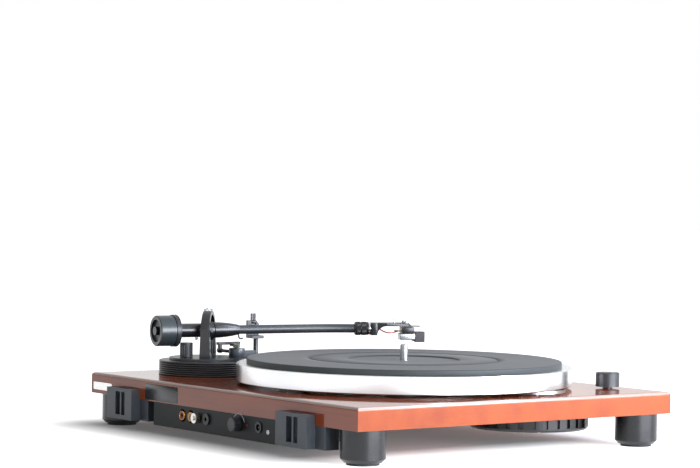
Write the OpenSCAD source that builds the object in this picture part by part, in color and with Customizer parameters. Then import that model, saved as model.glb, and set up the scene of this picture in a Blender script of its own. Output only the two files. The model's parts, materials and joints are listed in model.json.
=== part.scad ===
// Manual belt-drive turntable with a balanced tonearm, resting on four round feet.
// Millimetres. +Z is up, the front is -Y, and the origin is under the middle on the floor.

/* [Plinth] */
// Width of the wooden board
plinth_w = 420; // [380:1:480]
// Depth of the wooden board
plinth_d = 341; // [320:1:400]
// Thickness of the wooden board
plinth_t = 19; // [15:0.5:30]
// Rounding of the board's upper edges
plinth_edge_r = 2.75; // [0.5:0.25:3]

/* [Feet] */
// Diameter of a foot
foot_dia = 37; // [30:1:44]
// Height of the board's underside above the floor
foot_h = 29; // [26:0.5:40]
// Distance from a foot's centre to the board's edges
foot_inset = 21; // [20:0.5:30]
// Bevel round the bottom of a foot
foot_bevel = 3; // [1:0.5:5]
// Diameter of the rubber pad under a foot
pad_dia = 27; // [20:0.5:28]
// Thickness of the rubber pad
pad_t = 3.5; // [2.5:0.5:5]
// How far the pad stands out of the foot
pad_proud = 2; // [1:0.5:2]

/* [Screws] */
// Shank diameter of the wood screws
screw_dia = 3.5; // [2.5:0.25:4]
// Head diameter of the wood screws
screw_head_dia = 6.6; // [5:0.2:7]
// Head height of the wood screws
screw_head_h = 1.6; // [1:0.2:2]
// Depth that a wood screw goes into the board
screw_bite = 10; // [6:1:12]

/* [Platter] */
// Outer diameter of the platter
platter_dia = 300; // [296:1:304]
// Sideways place of the spindle from the board's middle
platter_x = -40.5; // [-44:0.5:-36]
// Fore-and-aft place of the spindle from the board's middle
platter_y = -5.6; // [-10:0.2:0]
// Gap between the board and the platter's rim
platter_gap = 2.6; // [2:0.2:5]
// Height of the platter's rim
platter_h = 15.65; // [14:0.05:24]
// Thickness of the platter's disc
disc_t = 3.5; // [2.5:0.25:4]
// Thickness of the platter's rim
rim_t = 8; // [5:0.5:12]
// Outer radius of the belt ring under the platter
belt_ring_r = 90; // [84:1:94]
// Thickness of the belt ring
belt_ring_t = 5; // [3:0.5:8]
// Height of the belt ring
belt_ring_h = 10; // [9:0.25:10.5]
// Diameter of the platter's hub
hub_dia = 34; // [30:1:50]
// Diameter of the rubber mat
mat_dia = 281.5; // [270:0.5:290]
// Thickness of the rubber mat
mat_t = 4.85; // [3:0.05:6]
// Radius of the sunk middle of the mat
mat_label_r = 50; // [48:0.5:56]
// Depth of the sunk middle of the mat
mat_label_depth = 1.2; // [0.5:0.1:2]
// Radius of the ring groove in the mat
mat_groove_r = 84.5; // [75:0.5:95]
// Width of the ring groove
mat_groove_w = 5; // [2:0.5:8]
// Depth of the ring groove
mat_groove_depth = 0.9; // [0.4:0.1:2]

/* [Main bearing] */
// Diameter of the pin that centres a record
pin_dia = 7.2; // [7:0.01:7.3]
// Height of that pin above the mat
pin_h = 13.5; // [10:0.5:18]
// Diameter of the spindle inside the bush
spindle_dia = 8; // [7.5:0.5:10]
// Depth of the spindle's foot below the deck
spindle_depth = 26; // [22:1:30]
// Diameter of the spindle's seat in the platter's hub
seat_dia = 12; // [11:0.5:16]
// Outer diameter of the brass bush
bush_dia = 14; // [13:0.5:18]
// Diameter of the bearing housing's barrel
bearing_dia = 24; // [22:1:30]
// Diameter of the bearing housing's flange
bearing_flange_dia = 52; // [46:1:60]
// Thickness of the bearing housing's flange
bearing_flange_t = 2.4; // [1.5:0.1:3]
// Diameter of the thrust ball
ball_dia = 5; // [4:0.5:6]

/* [Motor] */
// Sideways place of the motor from the board's middle
motor_x = -137.5; // [-140:0.5:-134]
// Fore-and-aft place of the motor from the board's middle
motor_y = -69; // [-74:0.5:-66]
// Diameter of the motor
motor_dia = 36; // [30:1:40]
// Height of the motor
motor_h = 24; // [18:1:28]
// Diameter of the motor's mounting plate
motor_plate_dia = 64; // [58:1:70]
// Thickness of the motor's mounting plate
motor_plate_t = 1.5; // [1:0.25:2]
// Radius of the pulley's belt track
pulley_r = 6; // [5:0.5:9]
// Diameter of the motor's shaft
motor_shaft_dia = 3; // [2:0.5:4]
// Thickness of the belt
belt_t = 0.8; // [0.6:0.1:1.2]
// Width of the belt
belt_w = 4; // [3:0.5:5]
// Outer diameter of the vented cover under the motor
cover_dia = 105; // [96:1:108]
// Height of the vented cover
cover_h = 13.5; // [12:0.5:18]
// Wall of the vented cover
cover_wall = 2; // [1.5:0.25:3]
// Number of vent slots round the cover
vent_count = 30; // [12:6:36]
// Width of a vent slot
vent_w = 4; // [2:0.5:5]

/* [Speed switch] */
// Distance of the speed knob from the board's left edge
speed_x = 56.8; // [52:0.2:62]
// Distance of the speed knob from the board's front edge
speed_y = 22.5; // [18.5:0.5:28.5]
// Diameter of the speed knob
speed_knob_dia = 21.2; // [18:0.2:26]
// Height of the speed knob
speed_knob_h = 12.5; // [8:0.5:16]
// Gap under the speed knob
speed_knob_gap = 1.5; // [1:0.25:3]
// Diameter of the knob's stem
speed_stem_dia = 8; // [6:0.5:9]
// Width of the switch under the board
speed_switch_w = 18; // [14:1:22]
// Height of the switch under the board
speed_switch_h = 4; // [3:0.5:6]

/* [Electronics] */
// Gap between the electronics tray and each lid bracket
tray_gap = 10; // [4:0.5:16]
// Depth of the electronics tray
tray_d = 75; // [65:1:85]
// Height of the electronics tray
tray_h = 20.8; // [19:0.2:24]
// Sheet thickness of the tray
tray_wall = 1.5; // [1:0.25:2]
// Thickness of the socket panel
panel_t = 2; // [1.5:0.25:3]
// Depth of the sockets' axes below the board's underside
socket_drop = 8.5; // [8:0.25:9]
// Diameter of a phono socket's barrel
rca_dia = 8.3; // [8.2:0.05:8.4]
// How far a phono socket's barrel stands out
rca_len = 1; // [0.5:0.25:3]
// Sideways place of the red phono socket
rca_red_x = 49.2; // [46:0.2:54]
// Sideways place of the white phono socket
rca_white_x = 35.6; // [33:0.2:37]
// Sideways place of the ground terminal
ground_x = 23.2; // [21:0.2:25]
// Sideways place of the round signal socket
round_jack_x = 9.5; // [6:0.2:12]
// Sideways place of the selector knob
selector_x = -40.2; // [-48:0.2:-30]
// Diameter of the selector knob
selector_dia = 12; // [9:0.5:14]
// Sideways place of the power socket
power_x = -70.9; // [-76:0.2:-62]

/* [Lid sockets] */
// Width of the block that takes a lid's hinge leg
lid_block_w = 44; // [40:1:48]
// Height of the block
lid_block_h = 28; // [26:0.5:32]
// How far the block stands out behind the board
lid_proud = 9; // [8.8:0.1:12]
// How far the block reaches under the board
lid_under = 14; // [12:0.5:20]
// Height of the block beside the board's edge
lid_lap = 9; // [6:0.5:12]
// Width of the fixing flange beside the block
lid_flange_w = 14; // [10:0.5:16]
// Width of the pocket for the lid's leg
lid_pocket_w = 16.3; // [15:0.1:18]
// Depth of the pocket, front to back
lid_pocket_d = 5; // [4.5:0.1:5.5]
// Width of the rib between the two windows
lid_rib_w = 2.3; // [1.5:0.1:3]
// Distance of the pocket from the block's outer end
lid_pocket_inset = 15.5; // [12:0.5:18]
// Distance of each bracket's middle from the board's side edge
lid_x = 73; // [71:0.5:76]

/* [Tonearm base] */
// Sideways place of the arm's pivot from the board's middle
arm_x = 143.6; // [140:0.2:148]
// Fore-and-aft place of the arm's pivot from the board's middle
arm_y = 84.4; // [80:0.2:90]
// Diameter of the ribbed base
base_dia = 91.4; // [88:0.2:94]
// Height of the ribbed base
base_h = 13.3; // [12:0.1:15]
// Number of grooves round the base
groove_count = 6; // [4:1:8]
// Width of a groove
groove_w = 0.9; // [0.5:0.1:1.1]
// Depth of a groove
groove_depth = 1; // [0.5:0.1:1.5]
// Diameter of the plate on the base
base_plate_dia = 72; // [70:1:80]
// Thickness of the plate on the base
base_plate_t = 2.5; // [1.5:0.1:3]

/* [Gimbal] */
// Height of the arm's axis above the deck
arm_axis_h = 41; // [40.5:0.1:44]
// Outer radius of the arch over the pivot
arch_r = 18.4; // [18.2:0.1:20]
// Thickness of the arch
arch_t = 3.9; // [3:0.1:4]
// Width of the arch's band at its feet
arch_w = 10; // [8:0.5:10.5]
// Width of the arch's band at its top
arch_top_w = 7.6; // [6:0.2:8]
// Turn of the arch from square to the board's side
arch_turn = 42; // [38:1:44]
// Outer radius of the gimbal ring
gimbal_r = 8.6; // [8.5:0.1:9]
// Inner radius of the gimbal ring
gimbal_bore_r = 6.3; // [6.2:0.1:6.5]
// Thickness of the gimbal ring
gimbal_t = 6; // [5:0.5:6.5]
// Diameter of the pivot screws
pivot_dia = 4; // [3:0.25:4.5]
// Height of the lock nut and screw end above the arch
pivot_nut_h = 2.3; // [1.5:0.1:3]

/* [Arm] */
// Diameter of the arm tube
tube_dia = 8.4; // [7:0.1:9]
// Wall of the arm tube
tube_wall = 0.9; // [0.6:0.1:1.2]
// Turn of the arm at rest, inward from the board's side
arm_heading = 7.5; // [6:0.5:9]
// Distance from the pivot to the tube's bend
bend_start = 111.2; // [106:0.2:116]
// Radius of the tube's bend
bend_r = 100; // [80:1:110]
// Angle of the tube's bend
bend_in = 20.5; // [18:0.5:23]
// Length of the straight run after the bend
bend_end = 6; // [4:0.5:9]
// Diameter of the arm's housing inside the gimbal ring
housing_dia = 10.5; // [10:0.1:10.8]
// Diameter of the front cone where it leaves the housing
cone_dia = 14.9; // [13:0.1:15.4]
// Diameter of the front cone where it meets the tube
cone_tip_dia = 9.6; // [9.4:0.1:11]
// Distance from the pivot to the cone's tip
cone_len = 31; // [28:0.5:34]
// Diameter of the stub behind the pivot
stub_dia = 13; // [11:0.5:13.4]
// Distance from the pivot to the stub's end
stub_len = 34; // [33:0.5:36]
// Diameter of the shaft that carries the counterweight
tail_dia = 8; // [6:0.5:9]

/* [Counterweight] */
// Diameter of the counterweight
weight_dia = 28.5; // [26:0.5:32]
// Length of the counterweight
weight_len = 16; // [14:0.5:20]
// Diameter of the dial ring
dial_dia = 29.8; // [27:0.2:33]
// Length of the dial ring
dial_len = 4.6; // [3:0.2:6]
// Diameter of the sleeve that carries the weight
sleeve_dia = 15; // [14:0.5:17]
// Recess in the weight's rear face
weight_recess = 2.4; // [1:0.2:4]

/* [Headshell] */
// Length of the locking collar
collar_len = 13.5; // [11:0.5:16]
// Diameter of the locking collar
collar_dia = 13; // [12:0.5:15]
// Length of the bright ring before the headshell
shell_ring_len = 2; // [1:0.25:3]
// Length of the headshell
shell_len = 39; // [36:0.5:44]
// Width of the headshell
shell_w = 18; // [17:0.5:20]
// Thickness of the headshell's plate
shell_plate_t = 3; // [2.5:0.25:4]
// Height of the headshell's rear block
shell_block_h = 12; // [11.5:0.5:14]
// Distance between the cartridge's screws
cartridge_screw_pitch = 12.7; // [12:0.1:13]
// Width of the cartridge
cartridge_w = 16.6; // [16.2:0.2:17]
// Length of the cartridge
cartridge_len = 15; // [13:0.5:18]
// Height of the cartridge's dark upper part
cartridge_top_h = 6; // [5:0.25:7]
// Height of the cartridge's lower part
cartridge_low_h = 6.2; // [5:0.1:6.5]
// Length of the stylus guard
guard_len = 9.5; // [8:0.5:11]
// Height of the stylus guard
guard_h = 10; // [9:0.25:11]
// Width of the stylus guard
guard_w = 10; // [8:0.5:12]
// Diameter of a cartridge lead
lead_dia = 0.9; // [0.7:0.1:1.2]

/* [Arm lift] */
// Distance from the pivot to the lifter's post
lift_r = 27.5; // [26.5:0.25:27.5]
// Turn of the lifter's post from straight ahead
lift_turn = 24; // [20:1:28]
// Diameter of the lifter's housing
lift_housing_dia = 15; // [13:0.5:15.5]
// Height of the lifter's housing
lift_housing_h = 8.2; // [7:0.2:9]
// Diameter of the lifter's post
lift_post_dia = 5; // [4:0.5:6]
// Height of the lifter's top above the deck when it is down
lift_top_h = 28; // [27:0.25:29]
// Width of the lifter's curved bar
lift_bar_w = 5; // [4:0.5:6]
// Thickness of the lifter's curved bar
lift_bar_t = 2.5; // [2:0.25:2.6]
// Diameter of the cue lever's axle
cue_axle_dia = 3; // [2.5:0.25:4]
// Length of the cue lever's handle
cue_len = 22; // [16:1:28]

/* [Arm rest] */
// Distance from the pivot to the arm rest
rest_reach = 50; // [48:0.5:52]
// Diameter of the arm rest's post
rest_post_dia = 4.6; // [4:0.2:5.6]
// Gap between the arm tube and the cradle below it
rest_gap = 1.5; // [1.3:0.1:2]
// Length of the cradle along the arm
rest_len = 12; // [11:0.5:13]
// Length of the clip's prongs
clip_len = 8; // [7:0.5:12]
// Width of the clip along the arm
clip_w = 4.6; // [4:0.2:5]

/* [Antiskate] */
// Diameter of the antiskate knob
skate_dia = 12; // [10:0.5:12.5]
// Sideways place of the antiskate knob from the pivot
skate_x = 6; // [4:0.5:8]
// Distance of the antiskate knob behind the pivot
skate_y = 20; // [18:0.5:20]
// Height of the antiskate knob
skate_h = 13.2; // [10:0.2:13.4]

/* [Clearances] */
// Clearance all round between a piece and the hole that holds it
snug = 0.05; // [0.03:0.01:0.08]
// Clearance all round a shaft that turns or slides
running = 0.05; // [0.03:0.01:0.09]
// Clearance between pieces that pass each other
passing = 0.3; // [0.25:0.05:0.4]

/* [Hidden] */
$fn = 96;

// Colours of the finishes
lacquer = "#8a3d2b";
black_plastic = "#23282b";
black_metal = "#1d2126";
rubber_grey = "#3c4244";
bright_metal = "#c9cccf";
brass_yellow = "#c9a24a";

// A hair's breadth that carries a cut past a face
past = 1;

// Heights above the floor, and the shift that centres the whole object over the origin
deck_top = foot_h + plinth_t;
deck_shift = -lid_proud / 2;
rear_y = plinth_d / 2;

// Heights above the deck
platter_top = platter_gap + platter_h;
disc_under = platter_top - disc_t;
belt_ring_under = disc_under - belt_ring_h;
mat_top = platter_top + mat_t;
mat_label_floor = mat_top - mat_label_depth;
plate_top = base_h + base_plate_t;

// Spindle: the collar stands clear of the bearing's flange and carries the hub
collar_lift = 1.6;
spindle_collar_t = 2;
spindle_collar_under = bearing_flange_t + collar_lift;
hub_under = spindle_collar_under + spindle_collar_t;
spindle_ledge = 4;
spindle_collar_dia = seat_dia + 2 * spindle_ledge;
bush_foot = spindle_depth - 2;
bearing_floor = 3;
bearing_depth = spindle_depth + ball_dia + bearing_floor;
pin_bevel = 1.2;
pin_root_dia = pin_dia + 1;

// Belt drive: the belt runs at the middle of its ring, round the ring and the pulley
drive_dx = motor_x - platter_x;
drive_dy = motor_y - platter_y;
drive_gap = norm([drive_dx, drive_dy]);
drive_heading = atan2(drive_dy, drive_dx);
belt_mid = belt_ring_under + belt_ring_h / 2;
pulley_flange = 1.4;
pulley_flange_r = pulley_r + 2;
pulley_h = belt_w + 2 * passing + 2 * pulley_flange;
pulley_under = belt_mid - pulley_h / 2;
motor_shaft_depth = 12;
motor_boss_dia = 8;
motor_hole_dia = motor_dia + 4;

// Circle of screws that each round piece is held by
bearing_screw_r = (bearing_flange_dia + bearing_dia) / 4;
motor_screw_r = (motor_plate_dia + motor_hole_dia) / 4;
cover_boss_dia = screw_dia + 5;
cover_boss_sink = 1;
cover_screw_r = cover_dia / 2 - cover_wall - cover_boss_dia / 2 + cover_boss_sink;
base_screw_r = base_dia / 2 - 12;
round_screws = 3;
motor_screw_first = drive_heading + 180 / round_screws;
cover_screw_first = 30;
vent_floor = cover_wall + 1;
vent_head = 2;

// Feet: the pad sits in a recess, and the screw's head hides above it
foot_screw_dia = screw_dia + 1;
foot_head_dia = foot_screw_dia + 5;
foot_head_h = 3;
foot_spots = [for (sx = [-1, 1], sy = [-1, 1])
    [sx * (plinth_w / 2 - foot_inset), sy * (plinth_d / 2 - foot_inset), 0]];

// Lid brackets: block and flange side by side
lid_bracket_w = lid_block_w + lid_flange_w;
lid_mid = plinth_w / 2 - lid_x;
lid_back_wall = (lid_proud - lid_pocket_d) / 2;
lid_pocket_h = lid_block_h - 4;
lid_window_h = lid_pocket_h - 3;
lid_wide_window = (lid_pocket_w - lid_rib_w) * 4 / 7;
lid_screw_xs = [lid_block_w / 4, lid_block_w + lid_flange_w / 2];

// Electronics: the tray lies between the lid brackets
tray_w = 2 * (lid_mid - lid_bracket_w / 2 - tray_gap);
tray_flange = 12;
tray_screw_xs = [for (share = [-0.42, -0.14, 0.14, 0.42]) share * tray_w];
tray_inside = tray_d - panel_t - tray_wall;
tray_floor_z = -plinth_t - tray_h + tray_wall;
board_t = 1.6;
board_lift = 2.3;
board_peg_dia = 7;
board_under = tray_floor_z + board_lift;
board_margin = 12;
board_peg_inset = 6;
board_w = tray_w - 2 * board_margin;
board_d = tray_inside - 2 * board_margin;
board_spots = [for (sx = [-1, 1], sy = [-1, 1])
    [sx * (board_w / 2 - board_peg_inset),
        rear_y - panel_t - tray_inside / 2 + sy * (board_d / 2 - board_peg_inset), 0]];
socket_z = -plinth_t - socket_drop;
socket_body_len = 8;
jack_flange_t = 1;
rca_rim = 0.6;
rca_core_dia = 3.8;
rca_pin_dia = 3;
rca_mouth = 6;
rca_cup_dia = rca_dia + 3;
rca_cup_wall = 0.9;
stud_dia = 4;
stud_head_dia = stud_dia + 4;
stud_end = 1.5;
ground_nut_gap = 1.2;
ground_nut_dia = 9;
ground_nut_t = 4;
nut_ribs = 18;
nut_rib_dia = 0.7;
round_jack_dia = 7;
round_flange_dia = round_jack_dia + 3;
round_flange_t = 1.6;
round_bore = 3.6;
power_dia = 8;
power_flange_dia = 9.5;
power_bore = 5.6;
power_pin = 2;
selector_stem_dia = 5;
selector_out = 8;
selector_gap = 0.6;
selector_body = 11;
selector_edge = 0.8;
selector_ribs = 12;
selector_rib_dia = 1.6;
selector_rib_out = 0.3;
capacitor_dia = 8;
capacitor_h = 9;
capacitor_back = 14;
capacitor_y = rear_y - tray_d / 2 - capacitor_back;
capacitor_xs = [-0.36 * board_w, -0.3 * board_w, -0.05 * board_w, 0.02 * board_w];
relay_size = [16, 12, 7];
relay_back = 12;
relay_spot = [0.2 * board_w, rear_y - tray_d / 2 - relay_back];
chip_size = [14, 14, 2.4];
chip_back = 6;
chip_spot = [-0.22 * board_w, rear_y - tray_d / 2 - chip_back];

// Arch and gimbal
arch_bore_r = arch_r - arch_t;
arch_top = arm_axis_h + arch_r;
pivot_tip_gap = 0.1;
pivot_cup = 1;
side_pivot_dia = 3;
pivot_tip_dia = 1.8;
pivot_shoulder = 0.5;
pivot_nut_dia = 8.4;
pivot_screw_proud = 0.75;
post_foot_dia = 12;
post_foot_h = 3;
post_dia = 9;
arch_flat = 0.45;

// Arm tube: ends of its bend, in the arm's own plane
function turn_in(p, a) = p + bend_r * [sin(a), cos(a) - 1];
bend_from = [bend_start, 0];
shell_heading = -bend_in;
tube_end = turn_in(bend_from, bend_in) + bend_end * [cos(shell_heading), sin(shell_heading)];
tube_into_collar = collar_len * 0.6;
tube_into_cone = 12;

// Stations along the tube, each [x, y, heading]
tube_sides = 16;
tube_step = 3;
bend_steps = ceil(bend_in / tube_step);
tube_stations = concat(
    [[cone_len - tube_into_cone + snug, 0, 0]],
    [for (i = [0 : bend_steps]) let (a = i * bend_in / bend_steps) concat(turn_in(bend_from, a), -a)],
    [concat(tube_end + tube_into_collar * [cos(shell_heading), sin(shell_heading)], shell_heading)]
);
function tube_point(station, k, r) =
    let (a = k * 360 / tube_sides)
    [station.x - r * cos(a) * sin(station.z), station.y + r * cos(a) * cos(station.z), r * sin(a)];

// Housing: a waist that leaves the gimbal ring room to tilt in, then a round nose
waist_room = 1.5;
waist = gimbal_t / 2 + waist_room;
cone_steps = 8;

// Counterweight: the dial covers the front of the sleeve
dial_front = -stub_len + 1;
weight_front = dial_front - dial_len;
weight_back = weight_front - weight_len;
dial_step = 2.6;
sleeve_front = -stub_len - dial_step;
tail_end = weight_back - 1;
weight_recess_r = sleeve_dia / 2 + 3;

// Headshell, measured from the end of the tube's bend along the shell
shell_front = collar_len + shell_ring_len;
shell_nose = shell_front + shell_len;
shell_block_len = 6;
collar_edge = 1;
collar_rings = 4;
collar_ring_w = 1.1;
collar_ring_depth = 0.5;
shell_ring_dia = shell_block_h - 0.8;
shell_nose_drop = 2;
shell_nose_slope = 2.5;
shell_flare = 9;
shell_corner = 3;
slot_len = 6;
shell_curve_r = shell_block_h - shell_plate_t;
shell_top = shell_block_h / 2 - 0.3;
shell_under = shell_top - shell_plate_t;
shell_tail_w = 13;
plug_dia = 8;
lift_strip_w = 4;
lift_strip_t = 1;
lift_reach = 10.5;
lift_strip_inset = 0.4;
lift_strip_len = 8;
cartridge_nose = shell_nose + 4;
cartridge_back = cartridge_nose - cartridge_len;
cartridge_top = shell_under - lift_strip_t;
cartridge_mid = cartridge_top - cartridge_top_h;
cartridge_low = cartridge_mid - cartridge_low_h;
cartridge_screw_s = shell_nose - 5;
cartridge_screw_dia = 2.4;
cartridge_screw_floor = cartridge_mid + 1;
cartridge_head_dia = cartridge_screw_dia + 2;
cartridge_head_h = 1.8;
cartridge_step_back = 2;
cartridge_step_nose = 1;
cartridge_waist = 1;
cartridge_top_len = cartridge_len - cartridge_step_back - cartridge_step_nose;
stylus_tip_s = cartridge_nose + 1.6;
stylus_tip_z = cartridge_low - 1.7;
stylus_grip_len = 2;
stylus_grip_h = 1.2;
stylus_rod_dia = 0.8;
guard_top = cartridge_mid + 1.6;
guard_back = cartridge_nose + passing;
guard_slot_w = 4;
lead_gap = 0.35;
lead_from_r = shell_curve_r - lead_gap;
lead_from = [shell_front + shell_block_len + shell_curve_r - lead_from_r * cos(45),
    shell_top - shell_block_h + lead_from_r * sin(45)];
lead_to_z = cartridge_mid + 2;
lead_sag = 7;
lead_count = 4;
lead_pitch = 2.6;

// Lifter: it rises until it all but touches the level arm
lift_post_x = lift_r * cos(lift_turn);
lift_post_y = -lift_r * sin(lift_turn);
lift_sweep = [-2, 54];
lift_post_foot = 8;
cue_axis_h = plate_top + lift_housing_h / 2 + 0.4;
cue_socket = 3;
cue_inner = lift_post_y + lift_housing_dia / 2 - cue_socket;
cue_side = 20;
cue_handle_w = 4;
cue_handle_t = 2.6;
cue_rise = 6.5;
cue_back = 3;
lift_foot_len = 19;
lift_foot_w = 5.6;
lift_foot_h = 6;
lift_foot_shift = -1;

// Arm rest: its bar lies on the base, and the clip stands in the cradle's wall
rest_foot_gap = 1;
rest_foot_x = base_plate_dia / 2 + rest_foot_gap;
rest_arm_w = 6;
rest_arm_t = 2.4;
cradle_floor = arm_axis_h - tube_dia / 2 - rest_gap;
cradle_t = 2.7;
cradle_wall = 3;
cradle_wall_gap = 1.8;
cradle_inner = 5;
cradle_slope = 3;
clip_ear = 4;
clip_pin_dia = 2.2;
clip_hub_dia = 4;
clip_prong_t = 1.7;
clip_prong_w = 2.4;
clip_over = 0.5;
clip_pin_z = arm_axis_h + tube_dia / 2 + clip_hub_dia / 2 + clip_over;
clip_pin_y = tube_dia / 2 + cradle_wall_gap + cradle_wall / 2;
clip_from = -rest_len / 2 + clip_ear + passing;
clip_to = clip_from + clip_w;

// Antiskate
skate_peg_dia = 4;
skate_gap = 0.4;
skate_roof = 2.5;
skate_ribs = 16;
skate_rib_dia = 1.1;
skate_rib_out = 0.2;
skate_skirt = 2;

// Speed switch
speed_collar_wall = 1.5;
speed_collar_dia = speed_stem_dia + 2 * speed_collar_wall;
speed_spot = [speed_x - plinth_w / 2, speed_y - plinth_d / 2, 0];
speed_collar_h = 8;

// Places
module on_deck() {
    translate([0, deck_shift, deck_top]) children();
}

module at_platter() {
    on_deck() translate([platter_x, platter_y, 0]) children();
}

module at_motor() {
    on_deck() translate([motor_x, motor_y, 0]) children();
}

module at_arm() {
    on_deck() translate([arm_x, arm_y, 0]) children();
}

// +X runs forward along the board's side and +Y outward
module beside_arm() {
    at_arm() rotate([0, 0, -90]) children();
}

// The same frame, turned to the arm at rest
module under_arm() {
    beside_arm() rotate([0, 0, -arm_heading]) children();
}

module along_arm() {
    under_arm() translate([0, 0, arm_axis_h]) children();
}

// +X runs forward along the headshell
module along_shell() {
    along_arm() translate([tube_end.x, tube_end.y, 0]) rotate([0, 0, shell_heading]) children();
}

// A socket's place on the panel's rear face, with +Z pointing out to the rear
module at_socket(x) {
    on_deck() translate([x, rear_y, socket_z]) rotate([-90, 0, 0]) children();
}

// Shapes used more than once
module around(count, radius, first = 0) {
    for (i = [0 : count - 1]) rotate([0, 0, first + i * 360 / count]) translate([radius, 0, 0]) children();
}

// A turned shape whose axis runs along +X: points are [radius, distance]
module lengthwise(points) {
    rotate([0, 90, 0]) rotate_extrude() polygon(points);
}

module rod(dia, from, to) {
    translate([0, 0, from]) cylinder(d = dia, h = to - from);
}

module tube_ring(outer_dia, inner_dia, from, to) {
    difference() {
        rod(outer_dia, from, to);
        rod(inner_dia, from - past, to + past);
    }
}

// A pan-head wood screw: the head's seat is at z = 0 and the shank points up
module wood_screw(length) {
    rod(screw_dia, 0, length);
    rod(screw_head_dia, -screw_head_h, 0);
}

module pilot_hole(length) {
    rod(screw_dia + 2 * snug, -past, length + snug);
}

module quarter_round_cutter(length, r) {
    difference() {
        translate([-length / 2 - past, -past, -past]) cube([length + 2 * past, r + past, r + past]);
        translate([-length / 2 - 2 * past, r, r]) rotate([0, 90, 0])
            cylinder(r = r, h = length + 4 * past);
    }
}

// Screws driven up from below: [x, y, thickness of what the head holds]
lid_screw_hold = 5;
cover_screw_hold = cover_h - screw_head_h - 0.5;
bottom_screw_spots = concat(
    [for (x = tray_screw_xs) [x, rear_y - tray_d - tray_flange / 2, tray_wall]],
    [for (i = [0 : round_screws - 1]) let (a = cover_screw_first + i * 360 / round_screws)
        [motor_x + cover_screw_r * cos(a), motor_y + cover_screw_r * sin(a), cover_screw_hold]],
    [for (side = [-1, 1], sx = lid_screw_xs)
        [side * lid_mid + lid_bracket_w / 2 - sx, rear_y - lid_under / 2, lid_screw_hold]]
);
base_screw_first = 50;
base_screw_bite = base_h - 4;
base_bore = 16;
base_roof = 3;

// Wooden board
module plinth() {
    color(lacquer) on_deck() difference() {
        translate([-plinth_w / 2, -plinth_d / 2, -plinth_t]) cube([plinth_w, plinth_d, plinth_t]);
        for (turn = [0, 180]) rotate([0, 0, turn]) {
            translate([0, -plinth_d / 2, 0]) mirror([0, 0, 1])
                quarter_round_cutter(plinth_w, plinth_edge_r);
            rotate([0, 0, 90]) translate([0, -plinth_w / 2, 0]) mirror([0, 0, 1])
                quarter_round_cutter(plinth_d, plinth_edge_r);
        }
        translate([platter_x, platter_y, 0]) {
            rod(bearing_dia + 2 * snug, -plinth_t - past, past);
            around(round_screws, bearing_screw_r) mirror([0, 0, 1]) pilot_hole(screw_bite);
        }
        translate([motor_x, motor_y, 0]) {
            rod(motor_hole_dia, -plinth_t - past, past);
            around(round_screws, motor_screw_r, motor_screw_first) mirror([0, 0, 1]) pilot_hole(screw_bite);
        }
        translate(speed_spot) rod(speed_collar_dia + 2 * snug, -plinth_t - past, past);
        translate([arm_x, arm_y, 0]) {
            rod(base_bore, -plinth_t - past, past);
            around(round_screws, base_screw_r, base_screw_first)
                rod(screw_dia + 2 * snug, -plinth_t - past, past);
        }
        for (spot = foot_spots)
            translate(spot + [0, 0, -plinth_t]) rod(foot_screw_dia + 2 * snug, -past, screw_bite + snug);
        for (spot = bottom_screw_spots)
            translate([spot.x, spot.y, -plinth_t]) pilot_hole(screw_bite);
    }
}

// Feet, their rubber pads and their screws
module feet() {
    color(black_plastic) on_deck() for (spot = foot_spots) translate(spot + [0, 0, -deck_top]) difference() {
        rotate_extrude() polygon([
            [0, pad_proud],
            [foot_dia / 2 - foot_bevel, pad_proud],
            [foot_dia / 2, pad_proud + foot_bevel],
            [foot_dia / 2, foot_h],
            [0, foot_h]
        ]);
        rod(pad_dia + 2 * snug, pad_proud - past, pad_t + snug);
        rod(foot_head_dia + 2 * snug, pad_proud, pad_t + foot_head_h + 2 * snug);
        rod(foot_screw_dia + 2 * snug, 0, foot_h + past);
    }
}

module foot_pads() {
    color(rubber_grey) on_deck() for (spot = foot_spots)
        translate(spot + [0, 0, -deck_top]) rod(pad_dia, 0, pad_t);
}

module foot_screws() {
    color(bright_metal) on_deck() for (spot = foot_spots) translate(spot + [0, 0, -deck_top]) {
        rod(foot_head_dia, pad_t + 2 * snug, pad_t + foot_head_h + 2 * snug);
        rod(foot_screw_dia, pad_t + foot_head_h, foot_h + screw_bite);
    }
}

// Screws driven from above, hidden under the platter
module deck_screws() {
    color(bright_metal) {
        at_platter() around(round_screws, bearing_screw_r)
            translate([0, 0, bearing_flange_t]) mirror([0, 0, 1])
                wood_screw(bearing_flange_t + screw_bite);
        at_motor() around(round_screws, motor_screw_r, motor_screw_first)
            translate([0, 0, motor_plate_t]) mirror([0, 0, 1])
                wood_screw(motor_plate_t + screw_bite);
    }
}

module bottom_screws() {
    color(bright_metal) on_deck() {
        for (spot = bottom_screw_spots) translate([spot.x, spot.y, -plinth_t - spot.z])
            wood_screw(spot.z + screw_bite);
        translate([arm_x, arm_y, -plinth_t]) around(round_screws, base_screw_r, base_screw_first)
            wood_screw(plinth_t + base_screw_bite);
    }
}

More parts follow.
